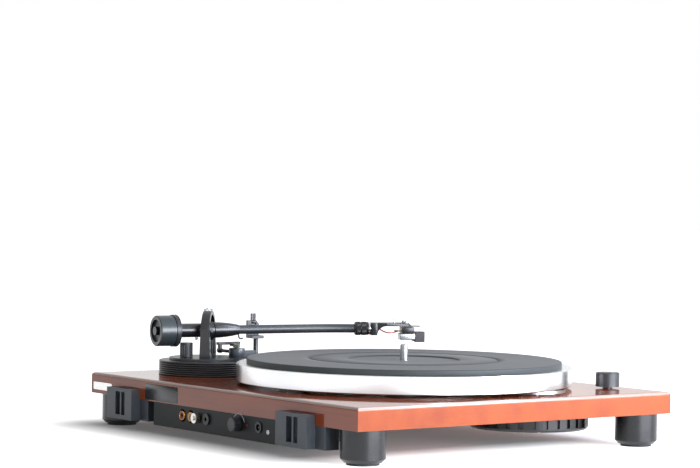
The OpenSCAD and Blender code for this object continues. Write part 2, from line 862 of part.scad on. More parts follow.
// Brackets behind the board that take the legs of a lid
module lid_socket(middle) {
    low = plinth_t - lid_lap + lid_block_h;
    color(black_plastic) on_deck() translate([middle + lid_bracket_w / 2, rear_y, 0]) difference() {
        union() {
            translate([-lid_block_w, 0, -low]) cube([lid_block_w, lid_proud, lid_block_h]);
            translate([-lid_bracket_w, -lid_under, -low])
                cube([lid_bracket_w, lid_under, lid_block_h - lid_lap]);
        }
        translate([-lid_pocket_inset - lid_pocket_w, lid_back_wall, -low + lid_block_h - lid_pocket_h])
            cube([lid_pocket_w, lid_pocket_d, lid_pocket_h + past]);
        translate([-lid_pocket_inset - lid_wide_window, lid_proud / 2, -low + lid_block_h - lid_pocket_h])
            cube([lid_wide_window, lid_proud, lid_window_h]);
        translate([-lid_pocket_inset - lid_pocket_w, lid_proud / 2, -low + lid_block_h - lid_pocket_h])
            cube([lid_pocket_w - lid_wide_window - lid_rib_w, lid_proud, lid_window_h]);
        for (sx = lid_screw_xs) translate([-sx, -lid_under / 2, -plinth_t]) {
            rod(screw_dia + 2 * snug, -lid_block_h, past);
            rod(screw_head_dia + 2 * passing, -lid_block_h, -lid_screw_hold);
        }
    }
}

module lid_socket_left() {
    lid_socket(-lid_mid);
}

module lid_socket_right() {
    lid_socket(lid_mid);
}

// Sheet-metal tray under the board, open towards it
module electronics_tray() {
    color(black_metal) on_deck() difference() {
        union() {
            translate([-tray_w / 2, rear_y - tray_d, -plinth_t - tray_h])
                cube([tray_w, tray_d - panel_t, tray_h]);
            translate([-tray_w / 2, rear_y - tray_d - tray_flange, -plinth_t - tray_wall])
                cube([tray_w, tray_flange + tray_wall, tray_wall]);
        }
        difference() {
            translate([-tray_w / 2 + tray_wall, rear_y - tray_d + tray_wall, tray_floor_z])
                cube([tray_w - 2 * tray_wall, tray_d, tray_h]);
            for (spot = board_spots) translate(spot) rod(board_peg_dia, tray_floor_z - past, board_under);
        }
        for (x = tray_screw_xs) translate([x, rear_y - tray_d - tray_flange / 2, -plinth_t])
            rod(screw_dia + 2 * snug, -tray_wall - past, past);
    }
}

// Panel that carries the sockets
module socket_panel() {
    color(black_metal) difference() {
        on_deck() translate([-tray_w / 2, rear_y - panel_t, -plinth_t - tray_h])
            cube([tray_w, panel_t, tray_h]);
        for (x = [rca_red_x, rca_white_x]) at_socket(x) rod(rca_cup_dia, -panel_t - past, past);
        at_socket(ground_x) rod(stud_dia + 2 * snug, -panel_t - past, past);
        at_socket(round_jack_x) rod(round_jack_dia + 2 * snug, -panel_t - past, past);
        at_socket(selector_x) rod(selector_stem_dia + 2 * passing, -panel_t - past, past);
        at_socket(power_x) rod(power_dia + 2 * snug, -panel_t - past, past);
    }
}

// Circuit board with its tall components
module circuit_board() {
    board_top = board_under + board_t;
    color("#2f5a3a") on_deck() {
        translate([-board_w / 2, rear_y - panel_t - tray_inside / 2 - board_d / 2, board_under])
            cube([board_w, board_d, board_t]);
        for (x = capacitor_xs) translate([x, capacitor_y, 0])
            rod(capacitor_dia, board_top, board_top + capacitor_h);
        translate([relay_spot.x, relay_spot.y, board_top]) cube(relay_size);
        translate([chip_spot.x, chip_spot.y, board_top]) cube(chip_size);
    }
}

// Phono socket: a barrel in a cup, with room round it for a plug
module rca_socket(x, ring_colour) {
    back = -panel_t - socket_body_len;
    color(ring_colour) at_socket(x) difference() {
        union() {
            rod(rca_dia, back, rca_len);
            rod(rca_cup_dia + rca_cup_wall, back, back + rca_cup_wall);
            tube_ring(rca_cup_dia + 2 * rca_cup_wall, rca_cup_dia, back, -panel_t);
        }
        tube_ring(rca_dia - 2 * rca_rim, rca_core_dia, rca_len - rca_mouth, rca_len + past);
        rod(rca_pin_dia, rca_len - rca_mouth, rca_len + past);
    }
}

module rca_socket_red() {
    rca_socket(rca_red_x, "#c0391f");
}

module rca_socket_white() {
    rca_socket(rca_white_x, "#e9dcc2");
}

module ground_stud() {
    color(bright_metal) at_socket(ground_x) {
        rod(stud_dia, -panel_t - socket_body_len / 2, ground_nut_gap + ground_nut_t + stud_end);
        rod(stud_head_dia, -panel_t - socket_body_len / 2, -panel_t);
    }
}

module ground_nut() {
    color(bright_metal) at_socket(ground_x) difference() {
        rod(ground_nut_dia, ground_nut_gap, ground_nut_gap + ground_nut_t);
        rod(stud_dia + 2 * running, 0, ground_nut_gap + ground_nut_t + past);
        around(nut_ribs, ground_nut_dia / 2)
            rod(nut_rib_dia, 0, ground_nut_gap + ground_nut_t + past, $fn = 24);
    }
}

module round_socket() {
    color(black_plastic) at_socket(round_jack_x) difference() {
        union() {
            rod(round_jack_dia, -panel_t - socket_body_len, 0);
            rod(round_flange_dia, 0, round_flange_t);
            rod(round_flange_dia, -panel_t - socket_body_len, -panel_t);
        }
        rod(round_bore, -panel_t - socket_body_len + past, round_flange_t + past);
    }
}

module power_socket() {
    color(black_plastic) at_socket(power_x) {
        difference() {
            union() {
                rod(power_dia, -panel_t - socket_body_len, 0);
                rod(power_flange_dia, 0, jack_flange_t);
                rod(power_flange_dia, -panel_t - socket_body_len, -panel_t);
            }
            rod(power_bore, -panel_t - socket_body_len + past, jack_flange_t + past);
        }
        rod(power_pin, -panel_t - socket_body_len, 0);
    }
}

module selector_switch() {
    color(black_plastic) at_socket(selector_x) difference() {
        translate([-selector_body / 2, -selector_body / 2, -panel_t - socket_body_len])
            cube([selector_body, selector_body, socket_body_len]);
        rod(selector_stem_dia + 2 * running, -panel_t - socket_body_len + past, 0);
    }
}

module selector_knob() {
    color(black_plastic) at_socket(selector_x) {
        rod(selector_stem_dia, -panel_t - socket_body_len + past + passing, selector_gap + past);
        difference() {
            rotate_extrude() polygon([
                [0, selector_gap],
                [selector_dia / 2, selector_gap],
                [selector_dia / 2, selector_out - selector_edge],
                [selector_dia / 2 - selector_edge, selector_out],
                [0, selector_out]
            ]);
            around(selector_ribs, selector_dia / 2 + selector_rib_out)
                rod(selector_rib_dia, selector_gap + past, selector_out + past, $fn = 24);
        }
    }
}

// Main bearing
module bearing_housing() {
    color(bright_metal) at_platter() difference() {
        rotate_extrude() polygon([
            [0, -bearing_depth],
            [bearing_dia / 2, -bearing_depth],
            [bearing_dia / 2, 0],
            [bearing_flange_dia / 2, 0],
            [bearing_flange_dia / 2, bearing_flange_t],
            [bush_dia / 2 + snug, bearing_flange_t],
            [bush_dia / 2 + snug, -bush_foot],
            [spindle_dia / 2 + passing, -bush_foot],
            [spindle_dia / 2 + passing, -spindle_depth - snug],
            [ball_dia / 2 + snug, -spindle_depth - snug],
            [ball_dia / 2 + snug, -spindle_depth - 2 * snug - ball_dia],
            [0, -spindle_depth - 2 * snug - ball_dia]
        ]);
        around(round_screws, bearing_screw_r) rod(screw_dia + 2 * snug, -past, bearing_flange_t + past);
    }
}

module bearing_bush() {
    color(brass_yellow) at_platter()
        tube_ring(bush_dia, spindle_dia + 2 * running, -bush_foot, bearing_flange_t);
}

module thrust_ball() {
    color(bright_metal) at_platter() translate([0, 0, -spindle_depth - snug - ball_dia / 2])
        sphere(d = ball_dia);
}

// Spindle: shaft, collar and seat for the hub, and the pin that centres a record
module spindle_shaft() {
    pin_top = mat_top + pin_h;
    color(bright_metal) at_platter() rotate_extrude() polygon([
        [0, -spindle_depth],
        [spindle_dia / 2, -spindle_depth],
        [spindle_dia / 2, spindle_collar_under],
        [spindle_collar_dia / 2, spindle_collar_under],
        [spindle_collar_dia / 2, hub_under],
        [seat_dia / 2, hub_under],
        [seat_dia / 2, platter_top],
        [pin_root_dia / 2, platter_top],
        [pin_root_dia / 2, mat_label_floor],
        [pin_dia / 2, mat_label_floor],
        [pin_dia / 2, pin_top - pin_bevel],
        [pin_dia / 2 - pin_bevel, pin_top],
        [0, pin_top]
    ]);
}

// Cast platter: rim, disc, belt ring and hub in one turned piece
module platter() {
    rim_r = platter_dia / 2;
    edge = 0.8;
    color(bright_metal) at_platter() rotate_extrude($fn = 180) polygon([
        [seat_dia / 2 + snug, platter_top],
        [rim_r - edge, platter_top],
        [rim_r, platter_top - edge],
        [rim_r, platter_gap + edge],
        [rim_r - edge, platter_gap],
        [rim_r - rim_t, platter_gap],
        [rim_r - rim_t, disc_under],
        [belt_ring_r, disc_under],
        [belt_ring_r, belt_ring_under],
        [belt_ring_r - belt_ring_t, belt_ring_under],
        [belt_ring_r - belt_ring_t, disc_under],
        [hub_dia / 2, disc_under],
        [hub_dia / 2, hub_under],
        [seat_dia / 2 + snug, hub_under]
    ]);
}

module platter_mat() {
    mat_r = mat_dia / 2;
    edge = 0.6;
    groove_floor = mat_top - mat_groove_depth;
    color(rubber_grey) at_platter() rotate_extrude($fn = 180) polygon([
        [pin_root_dia / 2 + snug, platter_top],
        [mat_r, platter_top],
        [mat_r, mat_top - edge],
        [mat_r - edge, mat_top],
        [mat_groove_r + mat_groove_w / 2, mat_top],
        [mat_groove_r + mat_groove_w / 2, groove_floor],
        [mat_groove_r - mat_groove_w / 2, groove_floor],
        [mat_groove_r - mat_groove_w / 2, mat_top],
        [mat_label_r, mat_top],
        [mat_label_r, mat_label_floor],
        [pin_root_dia / 2 + snug, mat_label_floor]
    ]);
}

// Motor, hung under its plate
module motor_plate() {
    color(bright_metal) at_motor() difference() {
        rod(motor_plate_dia, 0, motor_plate_t);
        rod(motor_boss_dia + 2 * snug, -past, motor_plate_t + past);
        around(round_screws, motor_screw_r, motor_screw_first)
            rod(screw_dia + 2 * snug, -past, motor_plate_t + past);
    }
}

module motor_body() {
    color("#8d9194") at_motor() difference() {
        union() {
            rod(motor_dia, -motor_h, 0);
            rod(motor_boss_dia, -past, motor_plate_t);
        }
        rod(motor_shaft_dia + 2 * running, -motor_shaft_depth - passing, motor_plate_t + past);
    }
}

module motor_pulley() {
    color(brass_yellow) at_motor() rotate_extrude() polygon([
        [0, -motor_shaft_depth],
        [motor_shaft_dia / 2, -motor_shaft_depth],
        [motor_shaft_dia / 2, pulley_under],
        [pulley_flange_r, pulley_under],
        [pulley_flange_r, pulley_under + pulley_flange],
        [pulley_r, pulley_under + pulley_flange],
        [pulley_r, pulley_under + pulley_h - pulley_flange],
        [pulley_flange_r, pulley_under + pulley_h - pulley_flange],
        [pulley_flange_r, pulley_under + pulley_h],
        [0, pulley_under + pulley_h]
    ]);
}

// Flat belt, standing a passing gap off both drums
module belt_outline(extra) {
    hull() {
        circle(belt_ring_r + passing + extra, $fn = 180);
        translate([drive_gap, 0]) circle(pulley_r + passing + extra, $fn = 48);
    }
}

module drive_belt() {
    color("#1a1a1a") at_platter() translate([0, 0, belt_mid - belt_w / 2]) rotate([0, 0, drive_heading])
        linear_extrude(belt_w) difference() {
            belt_outline(belt_t);
            belt_outline(0);
        }
}

// Vented cover under the motor
module motor_cover() {
    cover_r = cover_dia / 2;
    color(black_plastic) at_motor() translate([0, 0, -plinth_t - cover_h]) difference() {
        union() {
            difference() {
                rotate_extrude() polygon([
                    [0, 0],
                    [cover_r - cover_wall, 0],
                    [cover_r, cover_wall],
                    [cover_r, cover_h],
                    [0, cover_h]
                ]);
                rod(cover_dia - 2 * cover_wall, cover_wall, cover_h + past);
            }
            around(round_screws, cover_screw_r, cover_screw_first)
                rod(cover_boss_dia, cover_wall / 2, cover_h);
        }
        around(round_screws, cover_screw_r, cover_screw_first) {
            rod(screw_dia + 2 * snug, -past, cover_h + past);
            rod(screw_head_dia + 2 * passing, -past, cover_h - cover_screw_hold);
        }
        around(vent_count, cover_r, cover_screw_first + 180 / vent_count)
            translate([-cover_wall - past, -vent_w / 2, vent_floor])
                cube([cover_wall + 2 * past, vent_w, cover_h - vent_floor - vent_head]);
    }
}

// Speed switch and its knob
module speed_switch() {
    half = speed_switch_w / 2;
    color(black_plastic) on_deck() translate(speed_spot - [0, 0, plinth_t]) difference() {
        union() {
            translate([-half, -half, -speed_switch_h]) cube([speed_switch_w, speed_switch_w, speed_switch_h]);
            rod(speed_collar_dia, -past, speed_collar_h);
        }
        rod(speed_stem_dia + 2 * running, -speed_switch_h / 2, speed_collar_h + past);
    }
}

module speed_knob() {
    edge = 0.7;
    knob_r = speed_knob_dia / 2;
    color(black_plastic) on_deck() translate(speed_spot) rotate_extrude() polygon([
        [0, -plinth_t - speed_switch_h / 2 + passing],
        [speed_stem_dia / 2, -plinth_t - speed_switch_h / 2 + passing],
        [speed_stem_dia / 2, speed_knob_gap],
        [knob_r, speed_knob_gap],
        [knob_r, speed_knob_gap + speed_knob_h - edge],
        [knob_r - edge, speed_knob_gap + speed_knob_h],
        [0, speed_knob_gap + speed_knob_h]
    ]);
}

// Ribbed base of the tonearm and the plate on it
module arm_base() {
    pitch = base_h / (groove_count + 1);
    color(black_plastic) difference() {
        at_arm() rod(base_dia, 0, base_h);
        at_arm() {
            for (i = [1 : groove_count])
                tube_ring(base_dia + 2 * past, base_dia - 2 * groove_depth,
                    i * pitch - groove_w / 2, i * pitch + groove_w / 2);
            rod(base_bore, -past, base_h - base_roof);
            around(round_screws, base_screw_r, base_screw_first)
                rod(screw_dia + 2 * snug, -past, base_screw_bite + snug);
        }
        beside_arm() translate([lift_post_x, lift_post_y, 0])
            rod(lift_post_dia + 2 * passing, lift_post_foot - passing, base_h + past);
    }
}

module arm_base_plate() {
    color(black_plastic) difference() {
        at_arm() {
            rod(base_plate_dia, base_h, plate_top);
            translate([skate_x, skate_y, 0]) rod(skate_peg_dia, base_h, plate_top + skate_h - skate_roof);
        }
        beside_arm() translate([lift_post_x, lift_post_y, 0])
            rod(lift_post_dia + 2 * passing, base_h - past, plate_top + past);
    }
}

// Arch over the pivot, narrower towards its top
module arm_arch() {
    color(black_plastic) beside_arm() rotate([0, 0, -arch_turn]) difference() {
        intersection() {
            rotate([90, 0, 90]) linear_extrude(arch_w, center = true) difference() {
                union() {
                    translate([0, arm_axis_h]) circle(arch_r);
                    translate([-arch_r, plate_top]) square([2 * arch_r, arm_axis_h - plate_top]);
                }
                translate([0, arm_axis_h]) circle(arch_bore_r);
                translate([-arch_bore_r, plate_top - past])
                    square([2 * arch_bore_r, arm_axis_h - plate_top + past]);
            }
            rotate([90, 0, 0]) linear_extrude(2 * arch_r + 2 * past, center = true) polygon([
                [-arch_w / 2, plate_top],
                [arch_w / 2, plate_top],
                [arch_top_w / 2, arch_top],
                [-arch_top_w / 2, arch_top]
            ]);
        }
        rod(pivot_dia + 2 * snug, arm_axis_h, arch_top + past);
        translate([-arch_w, -arch_r, arch_top - arch_flat]) cube([2 * arch_w, 2 * arch_r, arch_r]);
    }
}

// Upper pivot: a pointed screw through the arch, and the nut that locks it
module upper_pivot_screw() {
    tip = arm_axis_h + gimbal_r - pivot_cup + pivot_tip_gap;
    color(bright_metal) at_arm() {
        rod(pivot_tip_dia, tip, arm_axis_h + arch_bore_r);
        rod(pivot_dia, arm_axis_h + gimbal_r + pivot_shoulder, arch_top + pivot_nut_h);
    }
}

module pivot_lock_nut() {
    nut_under = arch_top - arch_flat;
    nut_top = arch_top + pivot_nut_h - pivot_screw_proud;
    color(bright_metal) at_arm() difference() {
        translate([0, 0, nut_under]) cylinder(d = pivot_nut_dia, h = nut_top - nut_under, $fn = 6);
        rod(pivot_dia + 2 * snug, nut_under - past, arch_top + pivot_nut_h);
    }
}

module lower_pivot_post() {
    ring_under = arm_axis_h - gimbal_r;
    color(bright_metal) at_arm() {
        rod(post_foot_dia, plate_top, plate_top + post_foot_h);
        rod(post_dia, plate_top + post_foot_h - past, ring_under - pivot_shoulder);
        rod(pivot_tip_dia, ring_under - pivot_shoulder - past, ring_under + pivot_cup - pivot_tip_gap);
    }
}

// Gimbal ring: it swings with the arm and carries the arm's side pivots
module gimbal_ring() {
    color(black_metal) along_arm() difference() {
        rotate([0, 90, 0]) cylinder(r = gimbal_r, h = gimbal_t, center = true);
        rotate([0, 90, 0]) cylinder(r = gimbal_bore_r, h = gimbal_t + 2 * past, center = true);
        for (end = [0, 1]) mirror([0, 0, end])
            rod(pivot_tip_dia + 2 * running, gimbal_r - pivot_cup, gimbal_r + past);
        rotate([90, 0, 0]) cylinder(d = side_pivot_dia + 2 * snug, h = 3 * gimbal_r, center = true);
    }
}

module side_pivot_screws() {
    color(bright_metal) along_arm() for (side = [-1, 1]) rotate([-90 * side, 0, 0]) {
        rod(side_pivot_dia, housing_dia / 2 + passing, gimbal_r + pivot_shoulder);
        rod(pivot_tip_dia, housing_dia / 2 - pivot_cup + pivot_tip_gap, housing_dia / 2 + past);
    }
}

// Arm: housing at the pivot, with the nose, the rear stub and the tail for the weight
module arm_housing() {
    nose = [for (i = [0 : cone_steps]) let (t = i / cone_steps)
        [(cone_tip_dia + (cone_dia - cone_tip_dia) * (1 - t * t)) / 2, waist + t * (cone_len - waist)]];
    color(black_metal) along_arm() difference() {
        lengthwise(concat(
            [
                [0, tail_end],
                [tail_dia / 2, tail_end],
                [tail_dia / 2, -stub_len],
                [stub_dia / 2, -stub_len],
                [stub_dia / 2, -waist],
                [housing_dia / 2, -waist],
                [housing_dia / 2, waist]
            ],
            nose,
            [
                [tube_dia / 2 + snug, cone_len],
                [tube_dia / 2 + snug, cone_len - tube_into_cone],
                [0, cone_len - tube_into_cone]
            ]
        ));
        for (side = [-1, 1]) rotate([-90 * side, 0, 0])
            rod(pivot_tip_dia + 2 * running, housing_dia / 2 - pivot_cup, housing_dia / 2 + past);
    }
}

// The tube: straight, a bend inward, straight into the collar
module arm_tube() {
    rings = len(tube_stations);
    outer = [for (station = tube_stations, k = [0 : tube_sides - 1]) tube_point(station, k, tube_dia / 2)];
    inner = [for (station = tube_stations, k = [0 : tube_sides - 1])
        tube_point(station, k, tube_dia / 2 - tube_wall)];
    bore = rings * tube_sides;
    far = bore - tube_sides;
    walls = [for (i = [0 : rings - 2], k = [0 : tube_sides - 1])
        let (n = (k + 1) % tube_sides, here = i * tube_sides, ahead = here + tube_sides)
        each [
            [here + k, ahead + k, ahead + n],
            [here + k, ahead + n, here + n],
            [bore + here + k, bore + ahead + n, bore + ahead + k],
            [bore + here + k, bore + here + n, bore + ahead + n]
        ]];
    ends = [for (k = [0 : tube_sides - 1]) let (n = (k + 1) % tube_sides)
        each [
            [k, n, bore + n],
            [k, bore + n, bore + k],
            [far + k, bore + far + n, far + n],
            [far + k, bore + far + k, bore + far + n]
        ]];
    color(black_metal) along_arm() polyhedron(concat(outer, inner), concat(walls, ends));
}

// Counterweight: its sleeve slides along the tail, and the dial turns in front
module counterweight_sleeve() {
    color(black_plastic) along_arm() lengthwise([
        [tail_dia / 2 + running, weight_back + weight_recess],
        [sleeve_dia / 2, weight_back + weight_recess],
        [sleeve_dia / 2, sleeve_front],
        [tail_dia / 2 + running, sleeve_front]
    ]);
}

module counterweight() {
    edge = 0.8;
    color(black_metal) along_arm() lengthwise([
        [sleeve_dia / 2 + running, weight_front - passing],
        [weight_dia / 2, weight_front - passing],
        [weight_dia / 2, weight_back + edge],
        [weight_dia / 2 - edge, weight_back],
        [weight_recess_r, weight_back],
        [weight_recess_r, weight_back + weight_recess],
        [sleeve_dia / 2 + running, weight_back + weight_recess]
    ]);
}

module force_dial() {
    edge = 0.8;
    step = sleeve_front + passing;
    color(black_plastic) along_arm() lengthwise([
        [stub_dia / 2 + passing, dial_front],
        [dial_dia / 2 - edge, dial_front],
        [dial_dia / 2, dial_front - edge],
        [dial_dia / 2, weight_front],
        [sleeve_dia / 2 + running, weight_front],
        [sleeve_dia / 2 + running, step],
        [stub_dia / 2 + passing, step]
    ]);
}

// Headshell end
module headshell_collar() {
    color(black_metal) along_shell() difference() {
        lengthwise([
            [tube_dia / 2 + running, 0],
            [collar_dia / 2 - collar_edge, 0],
            [collar_dia / 2, collar_edge],
            [collar_dia / 2, collar_len - passing],
            [tube_dia / 2 + running, collar_len - passing]
        ]);
        for (i = [1 : collar_rings]) translate([i * collar_len / (collar_rings + 1), 0, 0]) rotate([0, 90, 0])
            tube_ring(collar_dia + 2 * past, collar_dia - 2 * collar_ring_depth,
                -collar_ring_w / 2, collar_ring_w / 2);
    }
}

module headshell() {
    block_under = shell_top - shell_block_h;
    curve_s = shell_front + shell_block_len + shell_curve_r;
    color(black_metal) along_shell() {
        lengthwise([
            [0, tube_into_collar + passing],
            [plug_dia / 2, tube_into_collar + passing],
            [plug_dia / 2, collar_len],
            [shell_ring_dia / 2, collar_len],
            [shell_ring_dia / 2, shell_front],
            [0, shell_front]
        ]);
        difference() {
            intersection() {
                rotate([90, 0, 0]) linear_extrude(2 * shell_w, center = true) difference() {
                    polygon([
                        [shell_front, block_under],
                        [shell_nose, block_under],
                        [shell_nose, shell_top - shell_nose_drop],
                        [shell_nose - shell_nose_slope, shell_top],
                        [shell_front, shell_top]
                    ]);
                    translate([curve_s, block_under]) circle(shell_curve_r);
                    translate([curve_s, block_under - past])
                        square([shell_len, shell_curve_r + past]);
                }
                linear_extrude(4 * shell_block_h, center = true) polygon([
                    [shell_front, -shell_tail_w / 2],
                    [shell_front + shell_block_len, -shell_tail_w / 2],
                    [shell_front + shell_block_len + shell_flare, -shell_w / 2],
                    [shell_nose - shell_corner, -shell_w / 2],
                    [shell_nose, -shell_w / 2 + shell_corner],
                    [shell_nose, shell_w / 2 - shell_corner],
                    [shell_nose - shell_corner, shell_w / 2],
                    [shell_front + shell_block_len + shell_flare, shell_w / 2],
                    [shell_front + shell_block_len, shell_tail_w / 2],
                    [shell_front, shell_tail_w / 2]
                ]);
            }
            for (side = [-1, 1]) translate([cartridge_screw_s, side * cartridge_screw_pitch / 2, 0])
                shell_slot();
        }
    }
}

// A slot that lets the cartridge be set fore and aft
module shell_slot() {
    slot_dia = cartridge_screw_dia + 2 * snug;
    rod(slot_dia, shell_under - past, shell_top + past);
    translate([-slot_len, 0, 0]) rod(slot_dia, shell_under - past, shell_top + past);
    translate([-slot_len, -slot_dia / 2, shell_under - past])
        cube([slot_len, slot_dia, shell_plate_t + 2 * past]);
}

module finger_lift() {
    strip_w = shell_w - 2 * lift_strip_inset;
    color(black_metal) along_shell() translate([0, 0, shell_under - lift_strip_t]) difference() {
        union() {
            translate([cartridge_screw_s - lift_strip_len / 2, -strip_w / 2, 0])
                cube([lift_strip_len, strip_w, lift_strip_t]);
            translate([cartridge_screw_s, strip_w / 2 - lift_strip_w, 0])
                cube([shell_nose - cartridge_screw_s + lift_reach, lift_strip_w, lift_strip_t]);
        }
        for (side = [-1, 1]) translate([cartridge_screw_s, side * cartridge_screw_pitch / 2, 0])
            rod(cartridge_screw_dia + 2 * snug, -past, lift_strip_t + past);
    }
}

module cartridge() {
    color(black_plastic) along_shell() difference() {
        union() {
            translate([cartridge_back + cartridge_step_back, -cartridge_w / 2, cartridge_mid])
                cube([cartridge_top_len, cartridge_w, cartridge_top_h]);
            translate([cartridge_back, -cartridge_w / 2 + cartridge_waist, cartridge_low])
                cube([cartridge_len, cartridge_w - 2 * cartridge_waist, cartridge_low_h]);
        }
        for (side = [-1, 1]) translate([cartridge_screw_s, side * cartridge_screw_pitch / 2, 0])
            rod(cartridge_screw_dia + 2 * snug, cartridge_screw_floor, cartridge_top + past);
    }
}

module cartridge_screws() {
    color(bright_metal) along_shell() for (side = [-1, 1])
        translate([cartridge_screw_s, side * cartridge_screw_pitch / 2, 0]) {
            rod(cartridge_screw_dia, cartridge_screw_floor + snug, shell_top + past);
            rod(cartridge_head_dia, shell_top, shell_top + cartridge_head_h);
        }
}

// Stylus: its holder under the cartridge, the thin arm and the tip
module stylus() {
    rise = cartridge_low - stylus_grip_h / 2 - stylus_tip_z;
    run = stylus_tip_s - cartridge_nose + stylus_grip_len / 2;
    color(black_plastic) along_shell() {
        translate([cartridge_nose - stylus_grip_len, -stylus_grip_len, cartridge_low - stylus_grip_h])
            cube([stylus_grip_len, 2 * stylus_grip_len, stylus_grip_h]);
        translate([cartridge_nose - stylus_grip_len / 2, 0, cartridge_low - stylus_grip_h / 2])
            rotate([0, 90 + atan2(rise, run), 0]) cylinder(d = stylus_rod_dia, h = norm([rise, run]));
    }
}

// Guard that pulls forward off the stylus
module stylus_guard() {
    color(black_plastic) along_shell() difference() {
        translate([guard_back, -guard_w / 2, guard_top - guard_h]) cube([guard_len, guard_w, guard_h]);
        translate([guard_back - past, -guard_slot_w / 2, guard_top - guard_h - past])
            cube([guard_len / 2 + past, guard_slot_w, guard_h / 2 + past]);
    }
}

// Four leads that sag between the plug's pins and the cartridge's pins
module headshell_leads() {
    chord = [cartridge_back - lead_from.x, lead_to_z - lead_from.y];
    half = norm(chord) / 2;
    bow = (half * half + lead_sag * lead_sag) / (2 * lead_sag);
    half_angle = asin(half / bow);
    middle = [lead_from.x + chord.x / 2, lead_from.y + chord.y / 2];
    for (i = [0 : lead_count - 1]) color(["#c0392b", "#f2f2ee", "#3a7d44", "#2f5fa8"][i])
        along_shell() translate([middle.x, (i - (lead_count - 1) / 2) * lead_pitch, middle.y])
            rotate([90, 0, 0]) rotate([0, 0, atan2(chord.y, chord.x)]) translate([0, bow - lead_sag])
                rotate([0, 0, -90 - half_angle]) rotate_extrude(angle = 2 * half_angle)
                    translate([bow, 0]) circle(d = lead_dia, $fn = 24);
}

// Antiskate knob on its peg
module antiskate_knob() {
    color(black_plastic) at_arm() translate([skate_x, skate_y, plate_top + skate_gap]) difference() {
        rod(skate_dia, 0, skate_h);
        rod(skate_peg_dia + 2 * running, -past, skate_h - skate_roof);
        around(skate_ribs, skate_dia / 2 + skate_rib_out)
            rod(skate_rib_dia, skate_skirt, skate_h - skate_skirt, $fn = 24);
    }
}

// Arm rest: a bar from the base and a post
module arm_rest() {
    color(black_plastic) under_arm() {
        translate([rest_foot_x, -rest_arm_w / 2, base_h])
            cube([rest_reach - rest_foot_x + rest_arm_w / 2, rest_arm_w, rest_arm_t]);
        translate([rest_reach, 0, 0])
            rod(rest_post_dia, base_h + rest_arm_t / 2, cradle_floor - cradle_t);
    }
}

// Cradle on the post, open towards the platter, with the clip's pin in its outer wall
module rest_cradle() {
    outer = clip_pin_y + cradle_wall / 2;
    wall_top = clip_pin_z + cradle_wall / 2;
    under = cradle_floor - cradle_t;
    notch_floor = clip_pin_z - clip_hub_dia / 2 - passing;
    color(black_plastic) under_arm() translate([rest_reach, 0, 0]) {
        translate([-rest_len / 2, -cradle_inner, under]) cube([rest_len, cradle_inner + outer, cradle_t]);
        translate([0, outer, 0]) rotate([90, 0, 0]) linear_extrude(cradle_wall) polygon([
            [-rest_len / 2, under],
            [rest_len / 2, under],
            [rest_len / 2, wall_top - cradle_slope],
            [clip_to + passing, wall_top],
            [clip_to + passing, notch_floor],
            [clip_from - passing, notch_floor],
            [clip_from - passing, wall_top],
            [-rest_len / 2, wall_top]
        ]);
        translate([0, clip_pin_y, clip_pin_z]) rotate([0, 90, 0])
            rod(clip_pin_dia, -rest_len / 2, clip_to + passing + past);
    }
}

// Clip that swings over the tube, shown standing open
module rest_clip() {
    color(black_plastic) under_arm() translate([rest_reach, clip_pin_y, clip_pin_z]) difference() {
        union() {
            rotate([0, 90, 0]) rod(clip_hub_dia, clip_from, clip_to);
            for (x = [clip_from, clip_to - clip_prong_t]) translate([x, -clip_prong_w / 2, 0])
                cube([clip_prong_t, clip_prong_w, clip_len]);
        }
        rotate([0, 90, 0]) rod(clip_pin_dia + 2 * running, clip_from - past, clip_to + past);
    }
}

// Arm lift: a housing, a curved bar on a post, and the lever that raises it
module lift_housing() {
    color("#7d8894") beside_arm() difference() {
        union() {
            translate([lift_post_x, lift_post_y, 0])
                rod(lift_housing_dia, plate_top, plate_top + lift_housing_h);
            translate([lift_post_x, lift_post_y + lift_foot_shift - lift_foot_w / 2, plate_top])
                cube([lift_foot_len, lift_foot_w, lift_foot_h]);
        }
        translate([lift_post_x, lift_post_y, 0])
            rod(lift_post_dia + 2 * running, plate_top - past, plate_top + lift_housing_h + past);
        translate([lift_post_x, cue_inner, cue_axis_h]) rotate([-90, 0, 0])
            rod(cue_axle_dia + 2 * running, -passing, cue_socket + past);
    }
}

module lift_bar() {
    color(black_plastic) beside_arm() {
        rotate([0, 0, -lift_sweep[1]]) rotate_extrude(angle = lift_sweep[1] - lift_sweep[0])
            translate([lift_r - lift_bar_w / 2, lift_top_h - lift_bar_t]) square([lift_bar_w, lift_bar_t]);
        translate([lift_post_x, lift_post_y, 0])
            rod(lift_post_dia, lift_post_foot, lift_top_h - lift_bar_t / 2);
    }
}

module cue_lever() {
    color(black_plastic) beside_arm() translate([lift_post_x, 0, cue_axis_h]) {
        translate([0, cue_inner, 0]) rotate([-90, 0, 0]) rod(cue_axle_dia, 0, cue_side - cue_inner);
        translate([0, cue_side - cue_handle_w, 0]) {
            rotate([-90, 0, 0]) rod(cue_axle_dia + 2, 0, cue_handle_w);
            translate([-cue_handle_t / 2, 0, 0]) cube([cue_handle_t, cue_handle_w, cue_rise]);
            translate([-cue_back, 0, cue_rise - cue_handle_t / 2])
                cube([cue_back + cue_len, cue_handle_w, cue_handle_t]);
        }
    }
}

